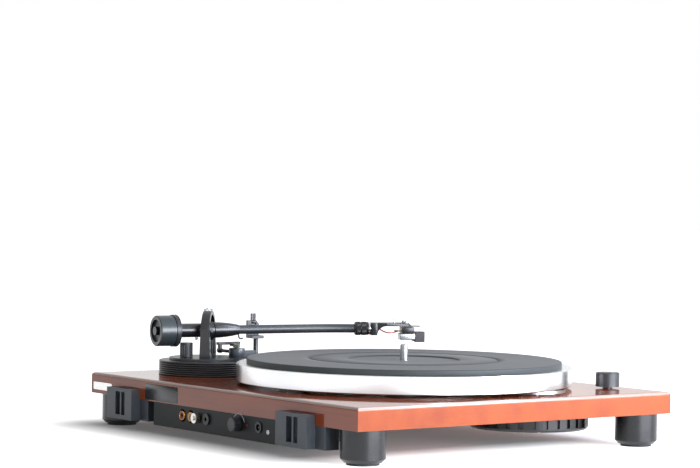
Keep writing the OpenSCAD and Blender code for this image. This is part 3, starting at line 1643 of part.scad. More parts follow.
plinth();
feet();
foot_pads();
foot_screws();
deck_screws();
bottom_screws();
lid_socket_left();
lid_socket_right();
electronics_tray();
socket_panel();
circuit_board();
rca_socket_red();
rca_socket_white();
ground_stud();
ground_nut();
round_socket();
power_socket();
selector_switch();
selector_knob();
bearing_housing();
bearing_bush();
thrust_ball();
spindle_shaft();
platter();
platter_mat();
motor_plate();
motor_body();
motor_pulley();
drive_belt();
motor_cover();
speed_switch();
speed_knob();
arm_base();
arm_base_plate();
arm_arch();
upper_pivot_screw();
pivot_lock_nut();
lower_pivot_post();
gimbal_ring();
side_pivot_screws();
arm_housing();
arm_tube();
counterweight_sleeve();
counterweight();
force_dial();
headshell_collar();
headshell();
finger_lift();
cartridge();
cartridge_screws();
stylus();
stylus_guard();
headshell_leads();
antiskate_knob();
arm_rest();
rest_cradle();
rest_clip();
lift_housing();
lift_bar();
cue_lever();
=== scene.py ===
import json
import math

import bmesh
import bpy
from mathutils import Matrix, Vector


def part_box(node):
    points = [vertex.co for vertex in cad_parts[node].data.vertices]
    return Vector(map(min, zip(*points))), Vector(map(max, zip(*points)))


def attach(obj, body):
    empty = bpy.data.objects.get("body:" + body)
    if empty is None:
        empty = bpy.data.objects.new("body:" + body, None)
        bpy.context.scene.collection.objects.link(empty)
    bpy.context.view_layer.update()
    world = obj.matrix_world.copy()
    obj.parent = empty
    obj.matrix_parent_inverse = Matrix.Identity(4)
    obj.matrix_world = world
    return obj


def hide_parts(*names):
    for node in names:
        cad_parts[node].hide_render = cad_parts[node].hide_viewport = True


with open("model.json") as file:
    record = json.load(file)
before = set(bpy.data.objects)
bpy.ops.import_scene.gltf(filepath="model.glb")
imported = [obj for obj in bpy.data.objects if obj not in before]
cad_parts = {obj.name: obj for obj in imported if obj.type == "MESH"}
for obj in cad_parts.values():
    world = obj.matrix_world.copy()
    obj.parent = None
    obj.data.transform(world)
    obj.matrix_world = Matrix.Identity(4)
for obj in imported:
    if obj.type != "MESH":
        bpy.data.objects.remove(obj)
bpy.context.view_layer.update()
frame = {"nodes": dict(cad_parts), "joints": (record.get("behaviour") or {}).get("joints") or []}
nodes = frame["nodes"]
joints = {joint["name"]: joint for joint in frame["joints"]}
scene = bpy.context.scene
mm = 0.001
print("frame loaded:", len(nodes), "nodes")


# colours are sRGB hex, Blender works in linear light
def linear(hexColour):
    channels = [int(hexColour[i:i + 2], 16) / 255 for i in (1, 3, 5)]
    return tuple(c / 12.92 if c <= 0.04045 else ((c + 0.055) / 1.055) ** 2.4 for c in channels) + (1.0,)


# pattern scale for a real size in mm, one for all axes or one for each
def perSize(*sizes):
    return tuple(1 / (size * mm) for size in (sizes * 3)[:3])


# one shader node, its settings (properties, sockets or a ramp's stops), and its links in and out
def addNode(tree, kind, settings=None, links=None, feeds=None):
    node = tree.nodes.new(kind)
    for key, value in (settings or {}).items():
        if key == "stops":
            ramp = node.color_ramp.elements
            while len(ramp) < len(value):
                ramp.new(1.0)
            for element, (position, colour) in zip(ramp, value):
                element.position, element.color = position, linear(colour)
        elif isinstance(key, str) and hasattr(node, key):
            setattr(node, key, value)
        else:
            node.inputs[key].default_value = value
    for key, source in (links or {}).items():
        tree.links.new(source, node.inputs[key])
    for key, socket in (feeds or {}).items():
        tree.links.new(node.outputs[key], socket)
    return node


# a material with its shader's sockets, and the object coordinates that its patterns start from
def newMaterial(name, settings):
    material = bpy.data.materials.new(name)
    material.use_nodes = True
    tree = material.node_tree
    shader = tree.nodes["Principled BSDF"].inputs
    for key, value in settings.items():
        shader[key].default_value = value
    spot = addNode(tree, "ShaderNodeTexCoord").outputs["Object"]
    return material, tree, shader, spot


# cherry veneer under clear lacquer: warm red-brown with faint long grain, mirror-like at a low angle,
# and a painted highlight: paler colour along the rounded upper edges
def lacqueredCherry():
    look = {"dark": "#933b12", "mid": "#a04513", "pale": "#a84c17", "edge": "#b3988e",
            "fibre": (70, 1.8, 1.8), "figure": (90, 24, 24), "fibreShare": 0.45, "highlightFrom": (0.2, 0.4),
            "highlightTo": (0.98, 0.9), "relief": 0.03, "depth": 0.04}
    material, tree, shader, spot = newMaterial("lacqueredCherry", {
        "Roughness": 0.6, "Specular IOR Level": 0.15, "Coat Weight": 1.0, "Coat Roughness": 0.06,
        "Coat IOR": 1.45})
    grain = addNode(tree, "ShaderNodeMapping", {"Scale": perSize(*look["fibre"])}, {"Vector": spot})
    fibres = addNode(tree, "ShaderNodeTexNoise", {"Scale": 1.0, "Detail": 4.0, "Roughness": 0.6},
                     {"Vector": grain.outputs["Vector"]})
    figure = addNode(tree, "ShaderNodeMapping", {"Scale": perSize(*look["figure"])}, {"Vector": spot})
    clouds = addNode(tree, "ShaderNodeTexNoise", {"Scale": 1.0, "Detail": 2.0},
                     {"Vector": figure.outputs["Vector"]})
    both = addNode(tree, "ShaderNodeMath", {"operation": "MULTIPLY_ADD", 1: look["fibreShare"]},
                   {0: fibres.outputs["Fac"], 2: clouds.outputs["Fac"]})
    veneer = addNode(tree, "ShaderNodeValToRGB",
                     {"stops": [(0.45, look["dark"]), (0.72, look["mid"]), (1.0, look["pale"])]},
                     {"Fac": both.outputs["Value"]})
    # painted highlight: faces tilted between up and sideways, on the rounded upper edges, are mixed to a
    # paler colour
    facing = addNode(tree, "ShaderNodeNewGeometry")
    upward = addNode(tree, "ShaderNodeSeparateXYZ", None, {"Vector": facing.outputs["Normal"]})
    lower, upper = (addNode(tree, "ShaderNodeMapRange", {"From Min": start, "From Max": stop},
                            {"Value": upward.outputs["Z"]})
                    for start, stop in (look["highlightFrom"], look["highlightTo"]))
    paintedHighlight = addNode(tree, "ShaderNodeMath", {"operation": "MULTIPLY"},
                     {0: lower.outputs["Result"], 1: upper.outputs["Result"]})
    addNode(tree, "ShaderNodeMix", {"data_type": "RGBA", 7: linear(look["edge"])},
            {0: paintedHighlight.outputs["Value"], 6: veneer.outputs["Color"]}, {2: shader["Base Color"]})
    addNode(tree, "ShaderNodeBump", {"Strength": look["relief"], "Distance": look["depth"] * mm},
            {"Height": clouds.outputs["Fac"]}, {"Normal": shader["Normal"]})
    return material


# injection-moulded ABS: spark-eroded grain softens every highlight
# real grit is about 0.1 mm, coarser here to show
def mouldedAbs(name, colour, shade, roughness, grain=0.5, relief=0.12, glow=0.0):
    look = {"flow": 14, "spread": 0.06, "depth": 0.04}
    material, tree, shader, spot = newMaterial(name, {
        "IOR": 1.53, "Roughness": roughness, "Emission Color": linear("#ffffff"), "Emission Strength": glow})
    fine = addNode(tree, "ShaderNodeMapping", {"Scale": perSize(grain)}, {"Vector": spot})
    grit = addNode(tree, "ShaderNodeTexNoise", {"Scale": 1.0, "Detail": 3.0},
                   {"Vector": fine.outputs["Vector"]})
    wide = addNode(tree, "ShaderNodeMapping", {"Scale": perSize(look["flow"])}, {"Vector": spot})
    flow = addNode(tree, "ShaderNodeTexNoise", {"Scale": 1.0, "Detail": 2.0},
                   {"Vector": wide.outputs["Vector"]})
    addNode(tree, "ShaderNodeValToRGB", {"stops": [(0.35, shade), (0.65, colour)]},
            {"Fac": flow.outputs["Fac"]}, {"Color": shader["Base Color"]})
    addNode(tree, "ShaderNodeMapRange",
            {"To Min": roughness - look["spread"], "To Max": roughness + look["spread"]},
            {"Value": flow.outputs["Fac"]}, {"Result": shader["Roughness"]})
    addNode(tree, "ShaderNodeBump", {"Strength": relief, "Distance": look["depth"] * mm},
            {"Height": grit.outputs["Fac"]}, {"Normal": shader["Normal"]})
    return material


# powder-coated sheet steel: near black, slight orange peel
def powderCoat():
    look = {"dark": "#16191a", "pale": "#1d2021", "peel": 1.1, "dust": 45, "smooth": 0.42, "dull": 0.56,
            "relief": 0.15, "depth": 0.05}
    material, tree, shader, spot = newMaterial("powderCoatedSteel", {"IOR": 1.5, "Specular IOR Level": 0.25})
    peel = addNode(tree, "ShaderNodeMapping", {"Scale": perSize(look["peel"])}, {"Vector": spot})
    bumps = addNode(tree, "ShaderNodeTexNoise", {"Scale": 1.0, "Detail": 2.0},
                    {"Vector": peel.outputs["Vector"]})
    wide = addNode(tree, "ShaderNodeMapping", {"Scale": perSize(look["dust"])}, {"Vector": spot})
    dust = addNode(tree, "ShaderNodeTexNoise", {"Scale": 1.0, "Detail": 3.0},
                   {"Vector": wide.outputs["Vector"]})
    addNode(tree, "ShaderNodeValToRGB", {"stops": [(0.3, look["dark"]), (0.7, look["pale"])]},
            {"Fac": dust.outputs["Fac"]}, {"Color": shader["Base Color"]})
    addNode(tree, "ShaderNodeMapRange", {"To Min": look["smooth"], "To Max": look["dull"]},
            {"Value": dust.outputs["Fac"]}, {"Result": shader["Roughness"]})
    addNode(tree, "ShaderNodeBump", {"Strength": look["relief"], "Distance": look["depth"] * mm},
            {"Height": bumps.outputs["Fac"]}, {"Normal": shader["Normal"]})
    return material


# stoved enamel on aluminium: black or dark grey with a long clear highlight
def blackEnamel(name, colour, roughness):
    look = {"film": 9, "spread": 0.05, "coatShare": 0.7, "relief": 0.01, "depth": 0.02}
    material, tree, shader, spot = newMaterial(name, {
        "IOR": 1.5, "Coat Weight": 0.35, "Coat Roughness": roughness * look["coatShare"],
        "Base Color": linear(colour)})
    wide = addNode(tree, "ShaderNodeMapping", {"Scale": perSize(look["film"])}, {"Vector": spot})
    film = addNode(tree, "ShaderNodeTexNoise", {"Scale": 1.0, "Detail": 3.0},
                   {"Vector": wide.outputs["Vector"]})
    addNode(tree, "ShaderNodeMapRange",
            {"To Min": roughness - look["spread"], "To Max": roughness + look["spread"]},
            {"Value": film.outputs["Fac"]}, {"Result": shader["Roughness"]})
    addNode(tree, "ShaderNodeBump", {"Strength": look["relief"], "Distance": look["depth"] * mm},
            {"Height": film.outputs["Fac"]}, {"Normal": shader["Normal"]})
    return material


# turned and polished aluminium: bright, with fine rings round the spindle that spread the shine up and
# down, and painted shade: the underside is coloured dark; real tool marks are about 0.1 mm, coarser here to
# show
def turnedAluminium(centre):
    look = {"ring": 0.5, "dark": "#e0e2e4", "pale": "#f8f8f8", "paintedUnderShade": "#2c2d2f", "underShadeFrom": -0.5,
            "underShadeTo": -0.9, "smooth": 0.16, "dull": 0.3, "relief": 0.25, "depth": 0.02}
    material, tree, shader, spot = newMaterial("turnedAluminium", {"Metallic": 1.0, "Roughness": 0.2})
    offset = addNode(tree, "ShaderNodeVectorMath", {"operation": "SUBTRACT", 1: (centre.x, centre.y, 0)},
                     {0: spot})
    split = addNode(tree, "ShaderNodeSeparateXYZ", None, {"Vector": offset.outputs["Vector"]})
    flat = addNode(tree, "ShaderNodeCombineXYZ", None, {"X": split.outputs["X"], "Y": split.outputs["Y"]})
    radius = addNode(tree, "ShaderNodeVectorMath", {"operation": "LENGTH"}, {0: flat.outputs["Vector"]})
    lay = addNode(tree, "ShaderNodeCombineXYZ", None,
                  {"X": radius.outputs["Value"], "Y": split.outputs["Z"]})
    marks = addNode(tree, "ShaderNodeTexNoise", {"Scale": 1 / (look["ring"] * mm), "Detail": 3.0},
                    {"Vector": lay.outputs["Vector"]})
    turned = addNode(tree, "ShaderNodeValToRGB", {"stops": [(0.3, look["dark"]), (0.7, look["pale"])]},
                     {"Fac": marks.outputs["Fac"]})
    # painted shade: faces that point down are mixed towards dark grey
    facing = addNode(tree, "ShaderNodeNewGeometry")
    upward = addNode(tree, "ShaderNodeSeparateXYZ", None, {"Vector": facing.outputs["Normal"]})
    under = addNode(tree, "ShaderNodeMapRange", {"From Min": look["underShadeFrom"], "From Max": look["underShadeTo"]},
                    {"Value": upward.outputs["Z"]})
    addNode(tree, "ShaderNodeMix", {"data_type": "RGBA", 7: linear(look["paintedUnderShade"])},
            {0: under.outputs["Result"], 6: turned.outputs["Color"]}, {2: shader["Base Color"]})
    addNode(tree, "ShaderNodeMapRange", {"To Min": look["smooth"], "To Max": look["dull"]},
            {"Value": marks.outputs["Fac"]}, {"Result": shader["Roughness"]})
    addNode(tree, "ShaderNodeBump", {"Strength": look["relief"], "Distance": look["depth"] * mm},
            {"Height": marks.outputs["Fac"]}, {"Normal": shader["Normal"]})
    return material


# other metals: polished, plated, brushed or blacked, with faint rub marks
def plainMetal(name, colour, shade, roughness, streak=(1.5, 1.5, 1.5)):
    look = {"smoother": 0.06, "duller": 0.08, "smoothest": 0.03, "relief": 0.04, "depth": 0.02}
    material, tree, shader, spot = newMaterial(name, {"Metallic": 1.0, "Roughness": roughness})
    lines = addNode(tree, "ShaderNodeMapping", {"Scale": perSize(*streak)}, {"Vector": spot})
    rub = addNode(tree, "ShaderNodeTexNoise", {"Scale": 1.0, "Detail": 4.0},
                  {"Vector": lines.outputs["Vector"]})
    addNode(tree, "ShaderNodeValToRGB", {"stops": [(0.3, shade), (0.7, colour)]},
            {"Fac": rub.outputs["Fac"]}, {"Color": shader["Base Color"]})
    addNode(tree, "ShaderNodeMapRange",
            {"To Min": max(roughness - look["smoother"], look["smoothest"]),
             "To Max": roughness + look["duller"]},
            {"Value": rub.outputs["Fac"]}, {"Result": shader["Roughness"]})
    addNode(tree, "ShaderNodeBump", {"Strength": look["relief"], "Distance": look["depth"] * mm},
            {"Height": rub.outputs["Fac"]}, {"Normal": shader["Normal"]})
    return material


# moulded rubber: grey and dull, with a slight pale bloom that lifts it at a low angle
def mouldedRubber(name, colour, shade, roughness, grain=0.8):
    look = {"bloom": 30, "smoother": 0.08, "duller": 0.05, "relief": 0.2, "depth": 0.05}
    material, tree, shader, spot = newMaterial(name, {
        "IOR": 1.45, "Sheen Weight": 0.08, "Sheen Roughness": 0.5, "Roughness": roughness})
    fine = addNode(tree, "ShaderNodeMapping", {"Scale": perSize(grain)}, {"Vector": spot})
    pores = addNode(tree, "ShaderNodeTexNoise", {"Scale": 1.0, "Detail": 3.0},
                    {"Vector": fine.outputs["Vector"]})
    wide = addNode(tree, "ShaderNodeMapping", {"Scale": perSize(look["bloom"])}, {"Vector": spot})
    bloom = addNode(tree, "ShaderNodeTexNoise", {"Scale": 1.0, "Detail": 3.0},
                    {"Vector": wide.outputs["Vector"]})
    addNode(tree, "ShaderNodeValToRGB", {"stops": [(0.3, shade), (0.7, colour)]},
            {"Fac": bloom.outputs["Fac"]}, {"Color": shader["Base Color"]})
    addNode(tree, "ShaderNodeMapRange",
            {"To Min": roughness - look["smoother"], "To Max": roughness + look["duller"]},
            {"Value": bloom.outputs["Fac"]}, {"Result": shader["Roughness"]})
    addNode(tree, "ShaderNodeBump", {"Strength": look["relief"], "Distance": look["depth"] * mm},
            {"Height": pores.outputs["Fac"]}, {"Normal": shader["Normal"]})
    return material


spindleAt = Vector(joints["platter_spin"]["pos_m"])
finishes = {
    "cherry": lacqueredCherry(),
    "abs": mouldedAbs("mouldedAbs", "#0c0f12", "#090b0e", 0.27, 0.5, 0.03),
    "absBracket": mouldedAbs("texturedAbs", "#4b5158", "#42484e", 0.42),
    "absKnob": mouldedAbs("ribbedAbs", "#2b2f33", "#24272b", 0.4),
    "absBase": mouldedAbs("satinAbs", "#26282b", "#1f2124", 0.34),
    "absSocket": mouldedAbs("socketNylon", "#17181a", "#101113", 0.4),
    "powderCoat": powderCoat(),
    "armEnamel": blackEnamel("blackEnamel", "#0b0e12", 0.32),
    "tubeEnamel": blackEnamel("tubeEnamel", "#20262b", 0.45),
    "weightEnamel": blackEnamel("satinEnamel", "#273034", 0.36),
    "aluminium": turnedAluminium(spindleAt),
    "bearing": plainMetal("turnedBearing", "#c8cacc", "#a9adb1", 0.3),
    "chrome": plainMetal("polishedSteel", "#e8e9ea", "#cfd2d5", 0.12),
    "blackedSteel": plainMetal("blackedSteel", "#3c3f42", "#313437", 0.35),
    "zinc": plainMetal("zincPlate", "#c3c6c6", "#a5a9aa", 0.32),
    "motorCan": plainMetal("drawnSteel", "#3a3c3e", "#2f3133", 0.34, (1.2, 1.2, 20)),
    "nickel": plainMetal("nickelPlate", "#dcd9d2", "#c2beb6", 0.2),
    "gold": plainMetal("goldPlate", "#e0a860", "#c98a44", 0.24),
    "brass": plainMetal("turnedBrass", "#cfa659", "#b58a3f", 0.26),
    "mat": mouldedRubber("mouldedRubber", "#383c3d", "#313536", 0.62),
    "pad": mouldedRubber("padRubber", "#33363a", "#2a2d30", 0.7),
    "belt": mouldedRubber("groundRubber", "#1c1c1d", "#151516", 0.6),
    "liftPaint": blackEnamel("greyStove", "#3c444c", 0.4),
    "cueRubber": mouldedRubber("cueRubber", "#6d6a5e", "#55534a", 0.75, 1.2),
    "laminate": mouldedAbs("solderMask", "#2f6a45", "#265738", 0.35),
    "cartridgeBlack": mouldedAbs("cartridgeAbs", "#1b1c1f", "#141518", 0.3),
    "cartridgeSilver": plainMetal("satinSilver", "#b9bdc0", "#a2a7ab", 0.35),
    "redNylon": mouldedAbs("redNylon", "#a3301b", "#8c2614", 0.35),
    "creamNylon": mouldedAbs("creamNylon", "#e6d3ac", "#d3bd91", 0.35),
    "plateVinyl": mouldedAbs("greyVinyl", "#2b2a2a", "#242323", 0.25, 0.5, 0.03),
    "labelPaper": mouldedAbs("whitePaper", "#f1efec", "#e6e3df", 0.6, glow=0.7),   # painted light: the label glows so that it stays white in the shade
    "whiteInk": mouldedAbs("whiteInk", "#dcdedd", "#cfd1d0", 0.5),
    "redInk": mouldedAbs("redInk", "#c22a26", "#ad211f", 0.5),
}
leadColours = {"red": "#b5382c", "white": "#dcdcd4", "green": "#2f7a4a", "blue": "#2c5596"}
for colourName, colour in leadColours.items():
    finishes["lead_" + colourName] = mouldedAbs(colourName + "Sleeve", colour, colour, 0.45)
print("finishes made:", len(finishes))

nodeFinish = {
    "cherry": ["plinth"],
    "abs": ["feet", "motor_cover"],
    "absBracket": ["lid_socket_left", "lid_socket_right"],
    "absKnob": ["selector_knob", "speed_knob", "antiskate_knob"],
    "absBase": ["arm_base", "arm_base_plate", "counterweight_sleeve", "force_dial", "arm_rest",
                "rest_cradle", "rest_clip", "cue_lever"],
    "absSocket": ["round_socket", "power_socket", "selector_switch", "speed_switch"],
    "powderCoat": ["electronics_tray", "socket_panel"],
    "armEnamel": ["arm_arch", "gimbal_ring", "arm_housing", "arm_tube", "headshell_collar", "headshell",
                  "finger_lift"],
    "weightEnamel": ["counterweight"],
    "aluminium": ["platter"],
    "bearing": ["bearing_housing", "spindle_shaft"],
    "chrome": ["thrust_ball"],
    "blackedSteel": ["lower_pivot_post", "side_pivot_screws"],
    "zinc": ["upper_pivot_screw", "pivot_lock_nut", "foot_screws", "deck_screws", "bottom_screws",
             "motor_plate", "cartridge_screws"],
    "motorCan": ["motor_body"],
    "nickel": ["ground_stud", "ground_nut"],
    "gold": ["rca_socket_red", "rca_socket_white"],
    "brass": ["bearing_bush", "motor_pulley"],
    "mat": ["platter_mat"],
    "pad": ["foot_pads"],
    "belt": ["drive_belt"],
    "liftPaint": ["lift_housing"],
    "cueRubber": ["lift_bar"],
    "laminate": ["circuit_board"],
    "cartridgeBlack": ["cartridge", "stylus", "stylus_guard"],
    "lead_red": ["headshell_leads"],
}
for finishName, names in nodeFinish.items():
    for name in names:
        for materialSlot in nodes[name].material_slots:
            materialSlot.material = finishes[finishName]
print("nodes dressed")

upright = Matrix.Rotation(math.radians(-90), 4, "Y")      # turns a lathe's X axis up
rearward = Matrix.Rotation(math.radians(90), 4, "Z")      # turns it towards the rear


# a frame at a point, with X along an axis of the part and Z up
def placeAlong(point, axis):
    ahead = Vector(axis).normalized()
    side = Vector((0, 0, 1)).cross(ahead)
    return Matrix.Translation(point) @ Matrix((ahead, side, Vector((0, 0, 1)))).transposed().to_4x4()


armPlace = placeAlong(joints["arm_swing"]["pos_m"], joints["counterweight_travel"]["axis"])
shellPlace = placeAlong(joints["collar_turn"]["pos_m"], joints["collar_turn"]["axis"])


# corners are (radius, run) in mm, with a third value where every other point is set in, as on a knurl
def lathe(profile, segments=72, closed=False):
    shape = bmesh.new()
    rings = []
    for radius, run, *notch in profile:
        count = segments if radius > 0 else 1
        ring = []
        for i in range(count):
            turn = 2 * math.pi * i / segments
            reach = (radius - (notch[0] if notch and i % 2 else 0)) * mm
            ring.append(shape.verts.new((run * mm, reach * math.cos(turn), reach * math.sin(turn))))
        rings.append(ring)
    pairs = list(zip(rings, rings[1:]))
    if closed:
        pairs.append((rings[-1], rings[0]))
    for low, high in pairs:
        for i in range(segments):
            j = (i + 1) % segments
            around = [low[i % len(low)], low[j % len(low)], high[j % len(high)], high[i % len(high)]]
            corners = list(dict.fromkeys(around))
            if len(corners) > 2:
                shape.faces.new(corners)
    return shape


# a round tube through points in mm, with closed ends
def sweepTube(points, radius, sides=12):
    shape = bmesh.new()
    path = [Vector(point) * mm for point in points]
    across = None
    rings = []
    for i, point in enumerate(path):
        ahead = (path[min(i + 1, len(path) - 1)] - path[max(i - 1, 0)]).normalized()
        guide = across if across else Vector((0, 1, 0))
        across = (guide - ahead * guide.dot(ahead)).normalized()
        over = ahead.cross(across)
        turns = [2 * math.pi * k / sides for k in range(sides)]
        rings.append([shape.verts.new(point + radius * mm * (math.cos(t) * across + math.sin(t) * over))
                      for t in turns])
    for low, high in zip(rings, rings[1:]):
        for k in range(sides):
            shape.faces.new([low[k], low[(k + 1) % sides], high[(k + 1) % sides], high[k]])
    shape.faces.new(rings[0][::-1])
    shape.faces.new(rings[-1])
    return shape


# a box between two corners in mm, with rounded edges
def roundedBox(low, high, radius, segments=3):
    shape = bmesh.new()
    bmesh.ops.create_cube(shape, size=1)
    low, high = Vector(low) * mm, Vector(high) * mm
    shape.transform(Matrix.Translation((low + high) / 2) @ Matrix.Diagonal((*(high - low), 1)))
    bmesh.ops.bevel(shape, geom=list(shape.edges), offset=radius * mm, segments=segments, profile=0.5,
                    affect="EDGES")
    return shape


# an outline in mm, raised from one height to another, with a small round along its edges
def raisedOutline(outline, low, high, radius=0.0):
    shape = bmesh.new()
    floor = shape.faces.new([shape.verts.new((x * mm, y * mm, low * mm)) for x, y in outline])
    raised = bmesh.ops.extrude_face_region(shape, geom=[floor])
    tops = [item for item in raised["geom"] if isinstance(item, bmesh.types.BMVert)]
    bmesh.ops.translate(shape, verts=tops, vec=(0, 0, (high - low) * mm))
    if radius:
        rims = [edge for edge in shape.edges if abs(edge.verts[0].co.z - edge.verts[1].co.z) < 1e-9]
        bmesh.ops.bevel(shape, geom=rims, offset=radius * mm, segments=2, profile=0.5, affect="EDGES")
    return shape


# corners of a ring's sector in mm
def sector(inner, outer, start, end, steps=24):
    turns = [math.radians(start + (end - start) * i / steps) for i in range(steps + 1)]
    return ([(outer * math.cos(t), outer * math.sin(t)) for t in turns]
            + [(inner * math.cos(t), inner * math.sin(t)) for t in reversed(turns)])


# corners of a plate in mm, with rounded corners
def roundedPlate(left, bottom, right, top, radius, steps=5):
    middles = ((right - radius, top - radius, 0), (left + radius, top - radius, 90),
               (left + radius, bottom + radius, 180), (right - radius, bottom + radius, 270))
    return [(x + radius * math.cos(math.radians(start + 90 * i / steps)),
             y + radius * math.sin(math.radians(start + 90 * i / steps)))
            for x, y, start in middles for i in range(steps + 1)]


# several shapes as one
def joinShapes(shapes):
    whole = bmesh.new()
    for shape in shapes:
        mesh = bpy.data.meshes.new("part")
        shape.to_mesh(mesh)
        whole.from_mesh(mesh)
        shape.free()
        bpy.data.meshes.remove(mesh)
    return whole


# a finished piece on its body, standing for the solids it replaces; sharp is the crease angle in degrees
def addPiece(name, shape, finish, body, stands=(), place=None, sharp=35):
    if place is not None:
        shape.transform(place)
    bmesh.ops.recalc_face_normals(shape, faces=shape.faces)
    mesh = bpy.data.meshes.new(name)
    shape.to_mesh(mesh)
    shape.free()
    mesh.polygons.foreach_set("use_smooth", [True] * len(mesh.polygons))
    mesh.set_sharp_from_angle(angle=math.radians(sharp))
    mesh.materials.append(finishes[finish])
    piece = bpy.data.objects.new(name, mesh)
    scene.collection.objects.link(piece)
    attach(piece, body)
    if stands:
        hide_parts(*stands)


# half a turn of points that swell out from a flat wall, for ribs
def ribProfile(radius, low, high, depth, steps=6):
    return [(radius - depth + depth * math.sin(math.pi * i / steps), low + (high - low) * i / steps)
            for i in range(steps + 1)]


# rubber mat: sunk label area, one groove, fine ridges
matLook = {"edgeRound": 0.9, "labelRadius": 50, "labelDepth": 1.2, "labelSlope": 0.6, "labelEase": 0.2,
           "grooveRadius": 84.5, "grooveWidth": 2.5, "grooveDepth": 0.9, "grooveSlope": 0.6,
           "grooveEase": (0.4, 0.3), "ridges": (94, 132), "ridgePitch": 3.8, "ridgeHeight": 0.12,
           "ridgeShape": ((0, 0), (0.25, -0.7), (0.5, -1), (0.75, -0.7)), "ridgeMargin": 1,
           "holeRadius": 4.0, "underRound": 0.4}


def addMat():
    low, high = (Vector(corner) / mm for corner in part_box("platter_mat"))
    middle = (low + high) / 2
    outer, top = (high.x - low.x) / 2, high.z - low.z
    label, labelFloor, slope = matLook["labelRadius"], top - matLook["labelDepth"], matLook["labelSlope"]
    profile = [(matLook["holeRadius"], 0), (matLook["holeRadius"], labelFloor), (label - slope, labelFloor),
               (label, top - matLook["labelEase"]), (label + slope, top)]
    half, (easeOut, easeDown) = matLook["grooveWidth"] / 2, matLook["grooveEase"]
    wall = [(half + easeOut, top), (half, top - easeDown),
            (half - matLook["grooveSlope"], top - matLook["grooveDepth"])]
    profile += [(matLook["grooveRadius"] - away, rise) for away, rise in wall]
    profile += [(matLook["grooveRadius"] + away, rise) for away, rise in reversed(wall)]
    ridge, ridgeEnd = matLook["ridges"]
    while ridge < ridgeEnd:
        for part, lift in matLook["ridgeShape"]:
            profile.append((ridge + part * matLook["ridgePitch"], top + lift * matLook["ridgeHeight"]))
        ridge += matLook["ridgePitch"]
    rim, under = matLook["edgeRound"], matLook["underRound"]
    profile += [(ridgeEnd + matLook["ridgeMargin"], top), (outer - rim, top)]
    for turn in (math.radians(degrees) for degrees in (30, 60, 90)):
        profile.append((outer - rim + rim * math.sin(turn), top - rim + rim * math.cos(turn)))
    profile += [(outer, under), (outer - under, 0)]
    place = Matrix.Translation((middle.x * mm, middle.y * mm, low.z * mm)) @ upright
    addPiece("ridgedMat", lathe(profile, 160, closed=True), "mat", "turning_platter",
             ["platter_mat"], place, 50)


addMat()

# ribbed base of the arm
baseLook = {"ribs": 7, "ribDepth": 0.95, "inner": 20, "edge": 0.5}


def addArmBase():
    low, high = (Vector(corner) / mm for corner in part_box("arm_base"))
    pivot = armPlace.translation / mm
    outer, tall = (high.x - low.x) / 2, high.z - low.z
    pitch = tall / baseLook["ribs"]
    profile = [(baseLook["inner"], 0)]
    for i in range(baseLook["ribs"]):
        profile += ribProfile(outer, i * pitch, (i + 1) * pitch, baseLook["ribDepth"])[(1 if i else 0):]
    profile += [(outer - baseLook["ribDepth"] - baseLook["edge"], tall), (baseLook["inner"], tall)]
    addPiece("ribbedBase", lathe(profile, 128, closed=True), "absBase", "deck", ["arm_base"],
             Matrix.Translation((pivot.x * mm, pivot.y * mm, low.z * mm)) @ upright, 60)


addArmBase()

# arm: tube with one bend, knurled collar, bright ring, weight and dial trim
armLook = {"rootRun": 19.2, "bendRadius": 100, "endRun": 6, "intoCollar": 8, "sides": 40, "bendSteps": 14,
           "collarLength": 13.4, "collarRadius": 6.5, "bore": 4.3, "knurl": 0.22,
           "knurlBands": ((1.6, 5.4), (6.6, 11.2)), "bandStep": (0.5, 0.4),
           "collarRear": [(1, 0), (0.3, 0.4), (0.15, 1.0)],
           "collarFront": [(0.15, -1.2), (0.15, -0.3), (0.5, 0)],
           "ringFrom": 13.55, "ringTo": 15.4, "ringRadius": 5.95, "ringBore": 5.62, "ringEase": (0.15, 0.3)}


def addArmTube():
    tubeRadius = (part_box("arm_tube")[1][2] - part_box("arm_tube")[0][2]) / 2 / mm
    end = armPlace.inverted() @ shellPlace.translation / mm
    bend = (armPlace.to_3x3().col[0]).angle(shellPlace.to_3x3().col[0])
    start = end.x - armLook["bendRadius"] * math.sin(bend) - armLook["endRun"] * math.cos(bend)
    points = [(armLook["rootRun"], 0, 0), ((armLook["rootRun"] + start) / 2, 0, 0)]
    for i in range(armLook["bendSteps"] + 1):
        turn = bend * i / armLook["bendSteps"]
        points.append((start + armLook["bendRadius"] * math.sin(turn),
                       armLook["bendRadius"] * (math.cos(turn) - 1), 0))
    points.append((end.x + armLook["intoCollar"] * math.cos(bend),
                   end.y - armLook["intoCollar"] * math.sin(bend), 0))
    addPiece("bentTube", sweepTube(points, tubeRadius, armLook["sides"]), "tubeEnamel", "arm",
             ["arm_tube"], armPlace, 50)


def addCollar():
    radius, bore, length = armLook["collarRadius"], armLook["bore"], armLook["collarLength"]
    profile = [(bore, 0)] + [(radius - inset, run) for inset, run in armLook["collarRear"]]
    inset, gap = armLook["bandStep"]
    for start, stop in armLook["knurlBands"]:
        profile += [(radius - inset, start - gap), (radius, start, armLook["knurl"]),
                    (radius, stop, armLook["knurl"]), (radius - inset, stop + gap)]
    profile += [(radius - inset, length + run) for inset, run in armLook["collarFront"]] + [(bore, length)]
    addPiece("knurledCollar", lathe(profile, 96, closed=True), "armEnamel", "collar",
             ["headshell_collar"], shellPlace, 25)
    start, stop, ringRadius = armLook["ringFrom"], armLook["ringTo"], armLook["ringRadius"]
    inset, run = armLook["ringEase"]
    ring = [(armLook["ringBore"], start), (ringRadius - inset, start), (ringRadius, start + run),
            (ringRadius, stop - run), (ringRadius - inset, stop), (armLook["ringBore"], stop)]
    addPiece("brightRing", lathe(ring, 64, closed=True), "chrome", "arm", (), shellPlace)


addArmTube()
addCollar()

